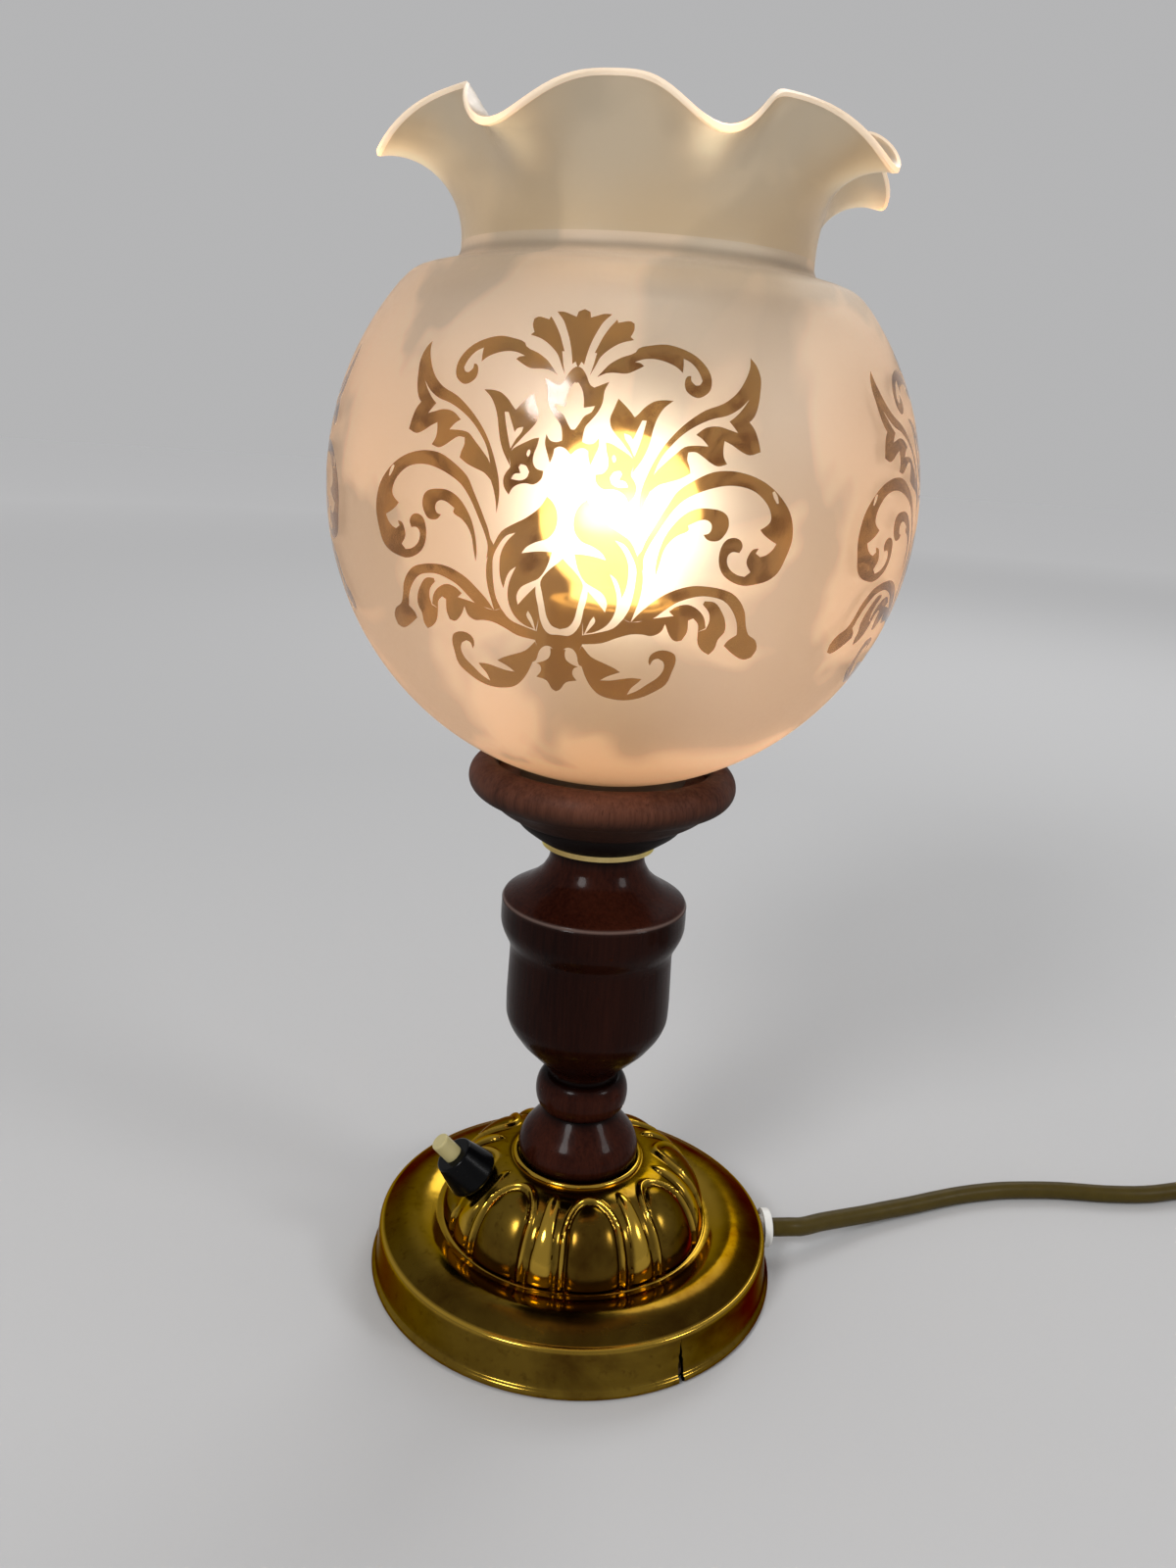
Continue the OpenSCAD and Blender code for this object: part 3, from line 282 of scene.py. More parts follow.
# Each finish, by what its function takes: colours first, then roughness, glow and the rest
FINISHES = {f.name: f.material for f in (
    aged_brass("brass_foot", (0.23, 0.142, 0.019), (0.075, 0.034, 0.005), 0.14),
    aged_brass("brass_bright", (0.70, 0.55, 0.24), (0.47, 0.33, 0.12), 0.22, 0.3),
    plain_metal("steel", (0.52, 0.52, 0.53), (0.36, 0.36, 0.37), 0.32),
    plain_metal("aluminium_cap", (0.72, 0.72, 0.72), (0.56, 0.56, 0.57), 0.3),
    lit("filament", (0.9, 0.8, 0.6), (1.0, 0.92, 0.80), 45.0),
    moulded("cast_iron", (0.045, 0.045, 0.048), 0.75, 0.25),
    turned_wood("board", (0.13, 0.07, 0.035), (0.24, 0.14, 0.07), 0.7, 0.0),
    felt_cloth("felt", (0.02, 0.085, 0.03)),
    turned_wood("mahogany", (0.0135, 0.0026, 0.0014), (0.046, 0.0105, 0.0050), 0.26, 0.07, 0.03),
    turned_wood("mahogany_matt", (0.034, 0.0100, 0.0050), (0.125, 0.044, 0.024), 0.6, 0.0, 0.12, 0.00005),
    moulded("bakelite", (0.70, 0.63, 0.45), 0.4),
    moulded("porcelain", (0.78, 0.76, 0.72), 0.25, coat=0.5),
    moulded("black_plastic", (0.0022, 0.0022, 0.0026), 0.2, 0.2, 0.0, 0.09),
    moulded("cream_plastic", (0.50, 0.43, 0.20), 0.38),
    moulded("white_plastic", (0.80, 0.79, 0.75), 0.42),
    moulded("flex", (0.062, 0.042, 0.0055), 0.4, 0.12, 0.0, 0.14),
    moulded("core_brown", (0.11, 0.045, 0.02), 0.45),
    moulded("core_blue", (0.03, 0.10, 0.28), 0.45),
    moulded("core_black", (0.02, 0.02, 0.02), 0.45),
    moulded("tie_black", (0.018, 0.018, 0.018), 0.5),
    moulded("plug_plastic", (0.10, 0.069, 0.014), 0.42, 0.1, 0.0, 0.3),
    moulded("black_glass", (0.012, 0.012, 0.014), 0.12),
    lit("bulb_glass", (1.0, 0.97, 0.92), (1.0, 0.90, 0.75), 1.3, 0.8),
    clear_glass("bulb_stem", (0.95, 0.95, 0.95), 0.04),
    frosted("frosted_glass", (0.94, 0.78, 0.62), (0.68, 0.60, 0.49), 0.85, 0.5, 0.15),
    # The ruffled edge is the same glass as the globe, painted darker and more olive: painted shade
    frosted("shaded_ruffle_glass", (0.66, 0.55, 0.38), (0.62, 0.51, 0.35), 0.88, 0.32, 0.20, RUFFLE_TINT),
    frosted("ruffle_inside", (0.88, 0.80, 0.66), (0.84, 0.76, 0.62), 0.9, 0.3, 0.05),
    frosted("rim_glass", (1.0, 0.90, 0.74), (1.0, 0.86, 0.68), 0.3, 0.4, 0.7),
    # The glass's foot, painted dark as painted shade where it sits in the cup
    frosted("shaded_glass_foot", (0.15, 0.115, 0.08), (0.11, 0.08, 0.06), 0.2, 0.6, 0.0),
    clear_glass("inner_glass", (1.0, 0.985, 0.96), 0.03),
    clear_glass("amber_stain", (0.34, 0.115, 0.011), 0.12),
)}

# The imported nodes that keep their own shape, by finish
KEPT_NODES = {
    "cast_iron": ["base_weight"], "board": ["bottom_board"], "felt": ["felt_pad"],
    "brass_bright": ["neck_washer", "holder_thread", "holder_contact", "switch_terminals", "plug_pins"],
    "steel": ["tie_tube", "tube_nuts", "clamp_washers"], "bakelite": ["holder_cap", "holder_shell"],
    "porcelain": ["holder_core"], "aluminium_cap": ["bulb_cap", "bulb_tip"], "black_glass": ["bulb_insulator"],
    "bulb_stem": ["bulb_mount"], "black_plastic": ["switch_nut", "switch_body", "cord_clamp"],
    "cream_plastic": ["switch_plunger"], "white_plastic": ["cord_grommet"], "flex": ["cord_inner"],
    "core_brown": ["wire_live"], "core_blue": ["wire_neutral"], "core_black": ["wire_switched"],
    "tie_black": ["coil_tie"], "plug_plastic": ["plug_body"],
}


def dress_kept_nodes():
    for finish, names in KEPT_NODES.items():
        for name in names:
            for place in NODES[name].material_slots:
                place.material = FINISHES[finish]


# Mesh helpers


def piece(name, points, faces, finishes, body, replaced, sharp=40.0, which=None):
    """A mesh piece from points in mm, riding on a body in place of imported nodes."""
    mesh = bpy.data.meshes.new(name)
    mesh.from_pydata([tuple(MM * c for c in p) for p in points], [], faces)
    for finish in finishes:
        mesh.materials.append(FINISHES[finish])
    if which is not None:
        mesh.polygons.foreach_set("material_index", np.asarray(which, np.int32))
    mesh.validate()
    mesh.shade_smooth()
    mesh.set_sharp_from_angle(angle=radians(sharp))
    return dressed(add_object(name, mesh), body, replaced)


def dressed(made, body, replaced):
    """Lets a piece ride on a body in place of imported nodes."""
    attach(made, body)
    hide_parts(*replaced)
    return made


def weld(made):
    """Joins points that lie on one another."""
    work = bmesh.new()
    work.from_mesh(made.data)
    bmesh.ops.remove_doubles(work, verts=work.verts, dist=1e-6)
    bmesh.ops.recalc_face_normals(work, faces=work.faces)
    work.to_mesh(made.data)
    work.free()


def arc(mid, rx, rz, start, end, steps):
    """Points on an arc of an ellipse, from one angle to another."""
    turns = np.radians(np.linspace(start, end, steps + 1))
    return [(mid[0] + rx * cos(a), mid[1] + rz * sin(a)) for a in turns]


def mark(made, name, values):
    """Keeps one number per point of a piece, for its finish to read."""
    made.data.attributes.new(name, "FLOAT", "POINT").data.foreach_set("value", np.asarray(values, np.float32))


def mark_by_place(made, name, rule):
    """The same, from a rule on each point's distance from the axis, height and direction."""
    spots = [tuple(v.co / MM) for v in made.data.vertices]
    mark(made, name, [rule(hypot(x, y), z, degrees(atan2(y, x))) for x, y, z in spots])


def quads(neighbours, rows):
    """Faces between columns of points that lie side by side, each a closed outline."""
    return [(a * rows + i, b * rows + i, b * rows + (i + 1) % rows, a * rows + (i + 1) % rows)
            for a, b in neighbours for i in range(rows)]


def lathe(name, outline, steps, finish, body, node, sharp=40.0):
    """A turned piece from its closed outline of (r, z)."""
    angles = np.arange(steps) * 360.0 / steps
    points = [(*turned(a, q[0]), q[1]) for a in angles for q in outline]
    faces = quads([(j, (j + 1) % steps) for j in range(steps)], len(outline))
    return piece(name, points, faces, [finish], body, [node], sharp)


def rounded(points, parts):
    """Passes a smooth line through the points, in this many parts between each two."""
    p = [np.asarray(q, float) for q in points]
    p = [2 * p[0] - p[1]] + p + [2 * p[-1] - p[-2]]
    line = []
    for a, b, c, d in zip(p, p[1:], p[2:], p[3:]):
        for t in np.arange(parts) / parts:
            line.append(0.5 * (2 * b + (c - a) * t + (2 * a - 5 * b + 4 * c - d) * t ** 2
                               + (3 * b - a - 3 * c + d) * t ** 3))
    return line + [p[-2]]


# Cord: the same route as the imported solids, along one curve from the grommet to the plug
CORD_D, CORD_LENGTH_M = 6.1, 1.7455
CORD_AT, GROMMET_FACE_R, CORD_Z = 8.0, 66.641, 9.2
LEAD_ROUTE = [
    (78, 12.6, 8.1), (85, 17.2, 7.1), (93, 22, 5.8), (101.5, 26.8, 4.6), (110.5, 31.5, 3.9), (120, 36, 3.4),
    (130, 40.8, 3.15), (140, 45, 3.05), (150, 48.2, 3.05), (160, 50.5, 3.05), (178, 52.5, 3.05),
    (196, 52.5, 3.05), (211, 54, 3.05), (225, 58, 3.05), (240, 62.6, 3.2), (255, 67.2, 3.6),
]
COIL_MID = np.array([296.0, 30.5])
COIL_FROM, COIL_TO, FULL_TURNS, COIL_D, COIL_LIFT, TURN_GAP = 107.5, -30.0, 6, 73, 1, 0.5
TURN_PITCH = CORD_D + TURN_GAP
TURNS = FULL_TURNS + (COIL_FROM - COIL_TO) / 360
COIL_IN_R = COIL_D / 2 - TURN_PITCH * TURNS / 4
COIL_Z = COIL_LIFT + CORD_D / 2
STRAIGHT_L, EASE_L, JOIN_L = 1.2 * CORD_D, 1.15 * CORD_D, 0.6 * CORD_D
TAIL_L, TAIL_DROP_FROM, PLUG_Z = 56.0, 12.0, 7.0
LEAD_PARTS, COIL_POINTS, TAIL_POINTS, CORD_ROUNDNESS = 4, 230, 15, 5


def coil_at(t):
    """The coil after t turns: it winds inwards on the table, climbs one cord, and winds outwards on top."""
    x, y = COIL_MID + turned(COIL_FROM - 360 * t, COIL_IN_R + TURN_PITCH * abs(t - TURNS / 2))
    return np.array([x, y, COIL_Z + TURN_PITCH * min(max((t - TURNS / 2) * 2 + 0.5, 0), 1)])


def coil_dir(angle):
    """Which way the coil runs at this direction from its middle."""
    return np.array([*turned(angle - 90), 0.0])


def tail_at(s):
    """The end of the cord, which leaves the coil and comes down to the plug."""
    p = coil_at(TURNS) + s * coil_dir(COIL_TO)
    drop = ease((s - TAIL_DROP_FROM) / (TAIL_L - STRAIGHT_L - TAIL_DROP_FROM))
    return np.array([p[0], p[1], p[2] + (PLUG_Z - p[2]) * drop])


def add_cord():
    start = coil_at(0) - STRAIGHT_L * coil_dir(COIL_FROM)
    out = np.array([*turned(CORD_AT), 0.0])
    exit_at = np.array([*turned(CORD_AT, GROMMET_FACE_R), CORD_Z])
    lead = rounded([exit_at, exit_at + STRAIGHT_L * out, *LEAD_ROUTE,
                    start - EASE_L * coil_dir(COIL_FROM), start], LEAD_PARTS)
    coil = [coil_at(TURNS * i / COIL_POINTS) for i in range(COIL_POINTS + 1)]
    tail = [tail_at(s) for s in np.linspace(0, TAIL_L, TAIL_POINTS)[1:]]
    line = lead + [start + JOIN_L * coil_dir(COIL_FROM)] + coil + tail
    data = bpy.data.curves.new("cord", "CURVE")
    data.dimensions = "3D"
    data.bevel_depth = CORD_D / 2 * MM
    data.bevel_resolution = CORD_ROUNDNESS
    data.use_fill_caps = True
    spline = data.splines.new("POLY")
    spline.points.add(len(line) - 1)
    spline.points.foreach_set("co", [c for p in line for c in (*(MM * p), 1.0)])
    spline.use_smooth = True
    data.materials.append(FINISHES["flex"])
    made = dressed(add_object("cord", data), "lamp", ["cord_lead", "cord_coil"])


# Brass foot. Eight tongues are pressed into its dome, with a leaf between each two; u is degrees up the dome
SKIRT_R, RIDGE_R, SKIRT_H, RIM_R, FOOT_R, SHEET_T = 64.0, 62.6, 15.0, 1.4, 65.0, 1
SHELF_R, SHELF_Z, SHELF_RISE, SHELF_CROWN = 61.4, 15.4, 2.4, 2.6
VALLEY_R, VALLEY_Z, VALLEY_RIDGE_H = 44.4, 17.8, 0.3
DOME_TOP_R, DOME_WIDE, DOME_H = 22.4, 18.6, 21.0
DOME_Z = VALLEY_Z + DOME_H
COLLAR_R, COLLAR_BEAD_R, COLLAR_GROOVE, BORE_R = 19.8, 1.0, (21.9, 21.3), 5.2
TONGUES, FIRST_TONGUE = 8, 280.0
HALF_PITCH = 180.0 / TONGUES
TONGUE_HALF, TONGUE_TURN_U, TONGUE_TIP_U, TONGUE_H = 14.6, 46.0, 36.0, 1.6
LEAF_HALF, LEAF_TAPER, LEAF_TAPER_U, LEAF_TURN_U, LEAF_TIP_U, LEAF_H = 5.4, 1.6, 60, 66.0, 17.0, 1.25
# Fractions of a tongue's half width: its pillow's edge, the groove round that, the bead outside it, and its end
PILLOW_EDGE, GROOVE_AT, GROOVE_WIDE, BEAD_AT, BEAD_WIDE, TONGUE_END = 0.77, 0.80, 0.04, 0.935, 0.082, 1.02
LEAF_GROOVE_AT, LEAF_GROOVE_WIDE = 1.08, 0.14
TONGUE_BEAD_H, PATTERN_FOOT_U, FULLNESS = 1.35, 7.0, 0.8
SWITCH_POS, SWITCH_CLEAR_R, SWITCH_FADE = np.array([-31.67, -10.90, 34.65]), 9.0, 4.0
FOOT_COLUMNS = 576
# The crack in the skirt, which closes over a few columns to both sides
CRACK_AT, CRACK_TOP, CRACK_HALF, CRACK_FADE, CRACK_COLUMNS, CRACK_IN_R = 302.3, 15.2, 0.9, 11.0, 5.0, 61.0


def dome_relief(u, a):
    """The pressed pattern: its height in mm, how deep in a groove this spot is, and whether it is on a tongue."""
    off = (a - FIRST_TONGUE + HALF_PITCH) % (2 * HALF_PITCH) - HALF_PITCH
    egg = hypot(off / TONGUE_HALF, max(0.0, u - TONGUE_TURN_U) / TONGUE_TIP_U)
    dart = hypot((HALF_PITCH - abs(off)) / (LEAF_HALF - LEAF_TAPER * ease(u / LEAF_TAPER_U)),
                      max(0.0, u - LEAF_TURN_U) / LEAF_TIP_U)
    pillow = TONGUE_H * sqrt(max(0.0, 1 - (egg / PILLOW_EDGE) ** 2)) ** FULLNESS
    bead = TONGUE_BEAD_H * peak(egg, BEAD_AT, BEAD_WIDE)
    leaf = LEAF_H * sqrt(max(0.0, 1 - dart ** 2)) ** FULLNESS
    groove = peak(egg, GROOVE_AT, GROOVE_WIDE) + peak(dart, LEAF_GROOVE_AT, LEAF_GROOVE_WIDE) * (egg > TONGUE_END)
    round_end = sqrt(1 - max(0.0, 1 - u / PATTERN_FOOT_U) ** 2)
    return max(pillow, bead, leaf) * round_end, min(1.0, groove), pillow > bead


def foot_outline(a):
    """Outline of the foot's sheet in direction a, from inside the rim over the outside to the bore, and back.
    Each point comes with its darkening, which is patina in grooves and painted shade and painted dark reflections
    elsewhere, and its brightening, which is wear on raised edges and painted highlights."""
    # Rim, the skirt painted darker as painted shade, and the ridge on top of it, brightened by wear and a painted
    # highlight
    line = [(q, 0.0, 0.0) for q in arc((FOOT_R - RIM_R, RIM_R), RIM_R, RIM_R, -120, 75, 14)]
    line += [((SKIRT_R + (RIDGE_R - SKIRT_R) * t, SKIRT_H * t), 0.25, 0.0) for t in np.linspace(0.22, 0.93, 9)]
    line += [(q, 0.0, 1.0 if k in (3, 4, 5) else 0.4) for k, q in
             enumerate(arc((RIDGE_R - 1.25, SKIRT_H - 0.55), 1.2, 1.0, 5, 88, 6))]
    # Shelf, painted darker towards the ridge as a painted dark reflection and lighter towards the valley as a painted
    # highlight, and the valley with its fine ridge, lightened as a painted highlight
    for t in np.linspace(0.03, 1.0, 36):
        line.append(((SHELF_R + (VALLEY_R - SHELF_R) * t,
                      SHELF_Z + SHELF_RISE * t + SHELF_CROWN * sin(pi * t)),
                     0.6 * ease((0.6 - t) / 0.35), 0.6 * ease((t - 0.6) / 0.3)))
    for t in np.linspace(0.1, 0.9, 9):
        ridge = peak(t, 0.6, 0.12)
        line.append(((VALLEY_R + (DOME_TOP_R + DOME_WIDE - VALLEY_R) * t, VALLEY_Z + VALLEY_RIDGE_H * ridge),
                     0.0, 0.5 + 0.4 * ridge))
    # Dome, smooth round the switch
    for u in np.linspace(0.0, 90.0, 76):
        c, s = cos(radians(u)), sin(radians(u))
        flat = np.array([DOME_TOP_R + DOME_WIDE * c, VALLEY_Z + DOME_H * s])
        out = np.array([c / DOME_WIDE, s / DOME_H])
        out /= np.linalg.norm(out)
        h, groove, on_tongue = dome_relief(u, a)
        spot = np.array([*turned(a, flat[0]), flat[1]])
        clear = ease((np.linalg.norm(spot - SWITCH_POS) - SWITCH_CLEAR_R) / SWITCH_FADE)
        # Patina in the grooves; the tongues' pillows painted darker as painted shade; raised beads and leaves
        # brightened by wear and painted highlights
        line.append((flat + out * (h * clear), 0.35 * clear * max(groove, 0.9 * on_tongue),
                     ease((h - 0.6) / 0.5) * (1 - on_tongue)))
    # Collar, and back along the inside
    line += [((r, DOME_Z), dark, 0.0) for r, dark in zip(COLLAR_GROOVE, (0.5, 0.9))]
    # The collar's bead brightened by wear and a painted highlight
    line += [(q, 0.0, 1.0) for q in arc((COLLAR_R, DOME_Z + 0.4), COLLAR_BEAD_R, COLLAR_BEAD_R, -20, 180, 10)]
    back = [(BORE_R, DOME_Z), (BORE_R, DOME_Z - SHEET_T)]
    back += arc((DOME_TOP_R - SHEET_T, VALLEY_Z - SHEET_T), DOME_WIDE, DOME_H, 86, 0, 12)
    back += [(VALLEY_R, VALLEY_Z - SHEET_T), (53.0, 18.2), (RIDGE_R - 1.2, SKIRT_H - SHEET_T),
             (RIDGE_R - SHEET_T, SKIRT_H - 2), (SKIRT_R - 1.4, 3.2)]
    return line + [(q, 0.0, 0.0) for q in back]


def add_foot():
    angles = CRACK_AT + np.arange(FOOT_COLUMNS + 1) * 360.0 / FOOT_COLUMNS
    outlines = [foot_outline(a) for a in angles]
    points, grime_and_shade, wear_and_highlight = [], [], []
    for j, (a, line) in enumerate(zip(angles, outlines)):
        near = max(0.0, 1 - min(j, FOOT_COLUMNS - j) / CRACK_COLUMNS) * (1 if j < FOOT_COLUMNS / 2 else -1)
        for (r, z), deep, bright in line:
            # The crack's edges are ragged
            jag = 0.16 * sin(1.9 * z + 0.7) + 0.10 * sin(4.3 * z)
            gap = CRACK_HALF * ease((CRACK_TOP - z) / CRACK_FADE) if r > CRACK_IN_R else 0.0
            turn = degrees((gap * near + (jag * abs(near) if gap > 0 else 0.0)) / r)
            points.append((*turned(a + turn, r), z))
            grime_and_shade.append(deep)
            wear_and_highlight.append(bright)
    faces = quads([(j, j + 1) for j in range(FOOT_COLUMNS)], len(outlines[0]))
    made = piece("brass_foot_shell", points, faces, ["brass_foot"], "lamp", ["base_shell"], sharp=55.0)
    mark(made, "grime_and_shade", grime_and_shade)
    mark(made, "wear_and_highlight", wear_and_highlight)
    weld(made)


# Turned wood
STEM_FOOT_R, QUIRK_R, BEAD_OUT, URN_R, BAND_R, NECK_R = 19.1, 11.2, 3.3, 25.2, 28.0, 14.2
BEAD_Z, BEAD_HALF_H, URN_Z, URN_MID_Z, SHOULDER_Z, COVE_H = 56.3, 6.1, 69.4, 96.0, 110.0, 10
BAND_MID_H, BAND_TOP_H, SLOPE_Z, NECK_Z, STEM_TOP_Z = 12.9, 15.8, 127.0, 140.5, 144.3
CUP_Z, CUP_FOOT_R, STEP_R, STEP_H = 145.9, 17.0, 25.0, 7.0
RING_R, RING_MID_Z, RING_DROP, CUP_TOP_Z = 39.2, 164.6, 5.25, 170.5
SEAT_R, SEAT_Z, LIP_WIDE, LIP_H, WELL_R, WELL_Z = 30.9, 165.5, 2.5, 2.2, 21.0, 156.5
WOOD_STEPS, WOOD_SHARP, CURVE_PARTS = 160, 32.0, 3
# Where the stem is darker, in its quirks and joints, and how far
STEM_HOLLOWS = ((DOME_Z, 3.0), (BEAD_Z, 1.6), (URN_Z - 0.3, 2.2), (STEM_TOP_Z, 2.0))
# Turned curves of the stem and the cup, as fractions across and up
FOOT_CURVE = ((0.8, 0), (0.95, 0.12), (1, 0.2), (1, 0.26), (0.97, 0.33), (0.91, 0.41), (0.79, 0.53), (0.61, 0.64),
              (0.41, 0.75), (0.21, 0.86), (0.03, 0.97))
BOWL_CURVE = ((0, 0), (0.024, 0.06), (0.092, 0.098), (0.23, 0.173), (0.372, 0.248), (0.508, 0.323), (0.64, 0.398),
              (0.743, 0.474), (0.843, 0.549), (0.917, 0.624), (0.967, 0.699), (0.993, 0.774), (1, 1))
COVE_CURVE = ((0, 0), (0.03, 0.12), (0.08, 0.2), (0.16, 0.3), (0.3, 0.4), (0.46, 0.5), (0.61, 0.6), (0.75, 0.7),
              (0.86, 0.8), (0.94, 0.9), (0.99, 1))
SLOPE_CURVE = ((0.02, 0), (0.045, 0.05), (0.1, 0.09), (0.2, 0.15), (0.32, 0.222), (0.44, 0.296), (0.55, 0.37),
               (0.64, 0.444), (0.725, 0.519), (0.8, 0.593), (0.855, 0.667), (0.9, 0.741), (0.94, 0.815),
               (0.975, 0.89), (1, 1))
CUP_CURVE = ((0, 0), (0.22, 0.157), (0.4, 0.3), (0.57, 0.443), (0.75, 0.6), (0.89, 0.757), (0.97, 0.9), (1, 1))
RING_CURVE = ((0, 0), (0.19, 0.15), (0.36, 0.3), (0.51, 0.45), (0.63, 0.6), (0.76, 0.75), (0.9, 0.9), (1, 1))


def along(start, end, curve):
    """A turned curve between two points, rounded between the given fractions."""
    line = [(start[0] + u * (end[0] - start[0]), start[1] + v * (end[1] - start[1])) for u, v in curve]
    return rounded(line, CURVE_PARTS)


def add_stem():
    outline = [(BORE_R, DOME_Z)]
    outline += along((QUIRK_R, DOME_Z), (STEM_FOOT_R, BEAD_Z), FOOT_CURVE)
    outline += arc((QUIRK_R, BEAD_Z + BEAD_HALF_H), BEAD_OUT, BEAD_HALF_H, -90, 90, 28)
    outline += along((QUIRK_R, URN_Z), (URN_R, URN_MID_Z), BOWL_CURVE)
    outline += along((URN_R - 0.4, SHOULDER_Z), (BAND_R, SHOULDER_Z + COVE_H), COVE_CURVE)
    outline += [(BAND_R, SHOULDER_Z + BAND_MID_H), (BAND_R - 0.1, SHOULDER_Z + BAND_TOP_H),
                (BAND_R - 0.05, SLOPE_Z - 0.4)]
    outline += along((BAND_R, SLOPE_Z), (NECK_R, NECK_Z), SLOPE_CURVE)
    outline += [(NECK_R, STEM_TOP_Z), (BORE_R, STEM_TOP_Z)]
    made = lathe("wood_stem", outline, WOOD_STEPS, "mahogany", "lamp", "stem", WOOD_SHARP)

    def grime_and_shade(r, z, a):
        # The urn is painted darker: a painted shadow
        urn = 0.6 * ease((z - 66) / 8) * ease((SLOPE_Z + 0.2 - z) / 0.6)
        return max(urn, max(peak(z, at, wide) for at, wide in STEM_HOLLOWS))

    mark_by_place(made, "grime_and_shade", grime_and_shade)
    # A painted highlight line along the edge of the shoulder
    mark_by_place(made, "wear_and_highlight", lambda r, z, a: 0.28 * (r > NECK_R + 9) * peak(z, SLOPE_Z + 0.2, 0.35))


def add_cup():
    step, lip_r = (STEP_R, CUP_Z + STEP_H), SEAT_R + LIP_WIDE
    ring_wide = RING_R - lip_r
    # The ring's round begins 70 degrees below its middle
    under = (lip_r + 0.342 * ring_wide, RING_MID_Z - 0.94 * RING_DROP)
    outline = [(BORE_R, CUP_Z)]
    outline += along((CUP_FOOT_R, CUP_Z), step, CUP_CURVE)
    outline += along((step[0] + 0.2, step[1] + 0.1), under, RING_CURVE)
    outline += arc((lip_r, RING_MID_Z), ring_wide, RING_DROP, -66, 0, 18)
    outline += arc((lip_r, RING_MID_Z), ring_wide, CUP_TOP_Z - RING_MID_Z, 5, 90, 22)
    outline += arc((lip_r, CUP_TOP_Z - LIP_H), LIP_WIDE, LIP_H, 96, 180, 12)
    outline += [(SEAT_R, SEAT_Z), (WELL_R, SEAT_Z), (WELL_R, WELL_Z), (BORE_R, WELL_Z)]
    made = lathe("wood_cup", outline, WOOD_STEPS, "mahogany_matt", "lamp", "gallery_cup", WOOD_SHARP)

    def grime_and_shade(r, z, a):
        # Painted shade: the cup's foot and the lower half of its ring are darker, and so is the lip round the glass's
        # seat
        foot, ring = ease((CUP_Z + 12.5 - z) / 6.0), 0.75 * ease((RING_MID_Z + 2.0 - z) / 6.0)
        return max(foot, ring, ease((33.0 - r) / 1.5) * (z > SEAT_Z))

    mark_by_place(made, "grime_and_shade", grime_and_shade)


# Bulb
BULB_R, BULB_MID_Z, BULB_NECK_R, BULB_NECK_Z, BULB_T = 22.5, 240.6, 12.5, 204.1, 0.8
FILAMENT_R, WIRE_R, WIRE_SIDES, WIRE_PARTS = 7.0, 4.5, 12, 36


def add_bulb():
    throat = degrees(asin(BULB_NECK_R / BULB_R))
    inner = degrees(asin((BULB_NECK_R - BULB_T) / (BULB_R - BULB_T)))
    outline = [(BULB_NECK_R - BULB_T, BULB_NECK_Z), (BULB_NECK_R, BULB_NECK_Z)]
    outline += arc((0, BULB_MID_Z), BULB_R, BULB_R, throat - 90, 90, 48)
    outline += arc((0, BULB_MID_Z), BULB_R - BULB_T, BULB_R - BULB_T, 90, inner - 90, 24)
    weld(lathe("bulb_envelope", outline, 96, "bulb_glass", "bulb", "bulb_glass"))
    ring = arc((0, 0), WIRE_R, WIRE_R, 0, 360 - 360 / WIRE_SIDES, WIRE_SIDES - 1)
    turns = np.linspace(0, 180, WIRE_PARTS + 1)
    points = [(*turned(a, FILAMENT_R + q[0]), BULB_MID_Z + q[1]) for a in turns for q in ring]
    last = WIRE_SIDES * WIRE_PARTS
    faces = [(first + i, first + (i + 1) % WIRE_SIDES, first + WIRE_SIDES + (i + 1) % WIRE_SIDES,
              first + WIRE_SIDES + i) for first in range(0, last, WIRE_SIDES) for i in range(WIRE_SIDES)]
    faces += [tuple(range(WIRE_SIDES))[::-1], tuple(range(last, len(points)))]
    piece("bulb_glowing_wire", points, faces, ["filament"], "bulb", ["bulb_filament"])


def add_spring():
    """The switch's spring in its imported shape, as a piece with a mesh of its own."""
    packed = NODES["switch_spring"]
    made = add_object("spring", packed.data.copy())
    made.matrix_world = packed.matrix_world
    made.data.materials.clear()
    made.data.materials.append(FINISHES["steel"])
    dressed(made, "lamp", ["switch_spring"])
    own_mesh(made)


# Glass globe. Places on it are in degrees round it and degrees up from its middle
GLASS_Z, FITTER_R, FITTER_H, FITTER_IN_R, FITTER_IN_H, GLASS_T = 165.8, 24.4, 3.4, 23.2, 5.0, 2.4
GLOBE_Z, GLOBE_R, GLOBE_H, ROUND_H = 245.5, 79.8, 77.6, 80.0
GLOBE_END, GLOBE_LOW, GLOBE_HIGH, ROW_STEP, COLUMN_STEP = -79.0, -55.0, 41.0, 1.5, 1.5
ROLL_IN, ROLL_UP, CREASE_OUT, CREASE_EDGE, CREASE_UP = 4.2, 3.6, 2.6, 0.3, 2.2
GLASS_NECK_R, CREASE_Z, FLARE_Z, FLARE_L = 46.0, 302.6, 307.9, 31.0
RIM_FROM, RIM_TO, RIM_THINNED = 0.985, 1.012, 0.3
FLARE_ROWS, INNER_ROWS, LOW_ROWS, SHOULDER_PARTS = 22, 52, 17, 4
RUFFLES, CREST_TURN, TROUGH_TURN, TROUGH_AT, RUFFLE_SHARPNESS = 8, 38.0, 104.0, 14.5, 1.4
# One ruffle, at the left back, is turned out less than the rest
SHY_RUFFLE_AT, SHY_SHARE = 149.5, 0.5
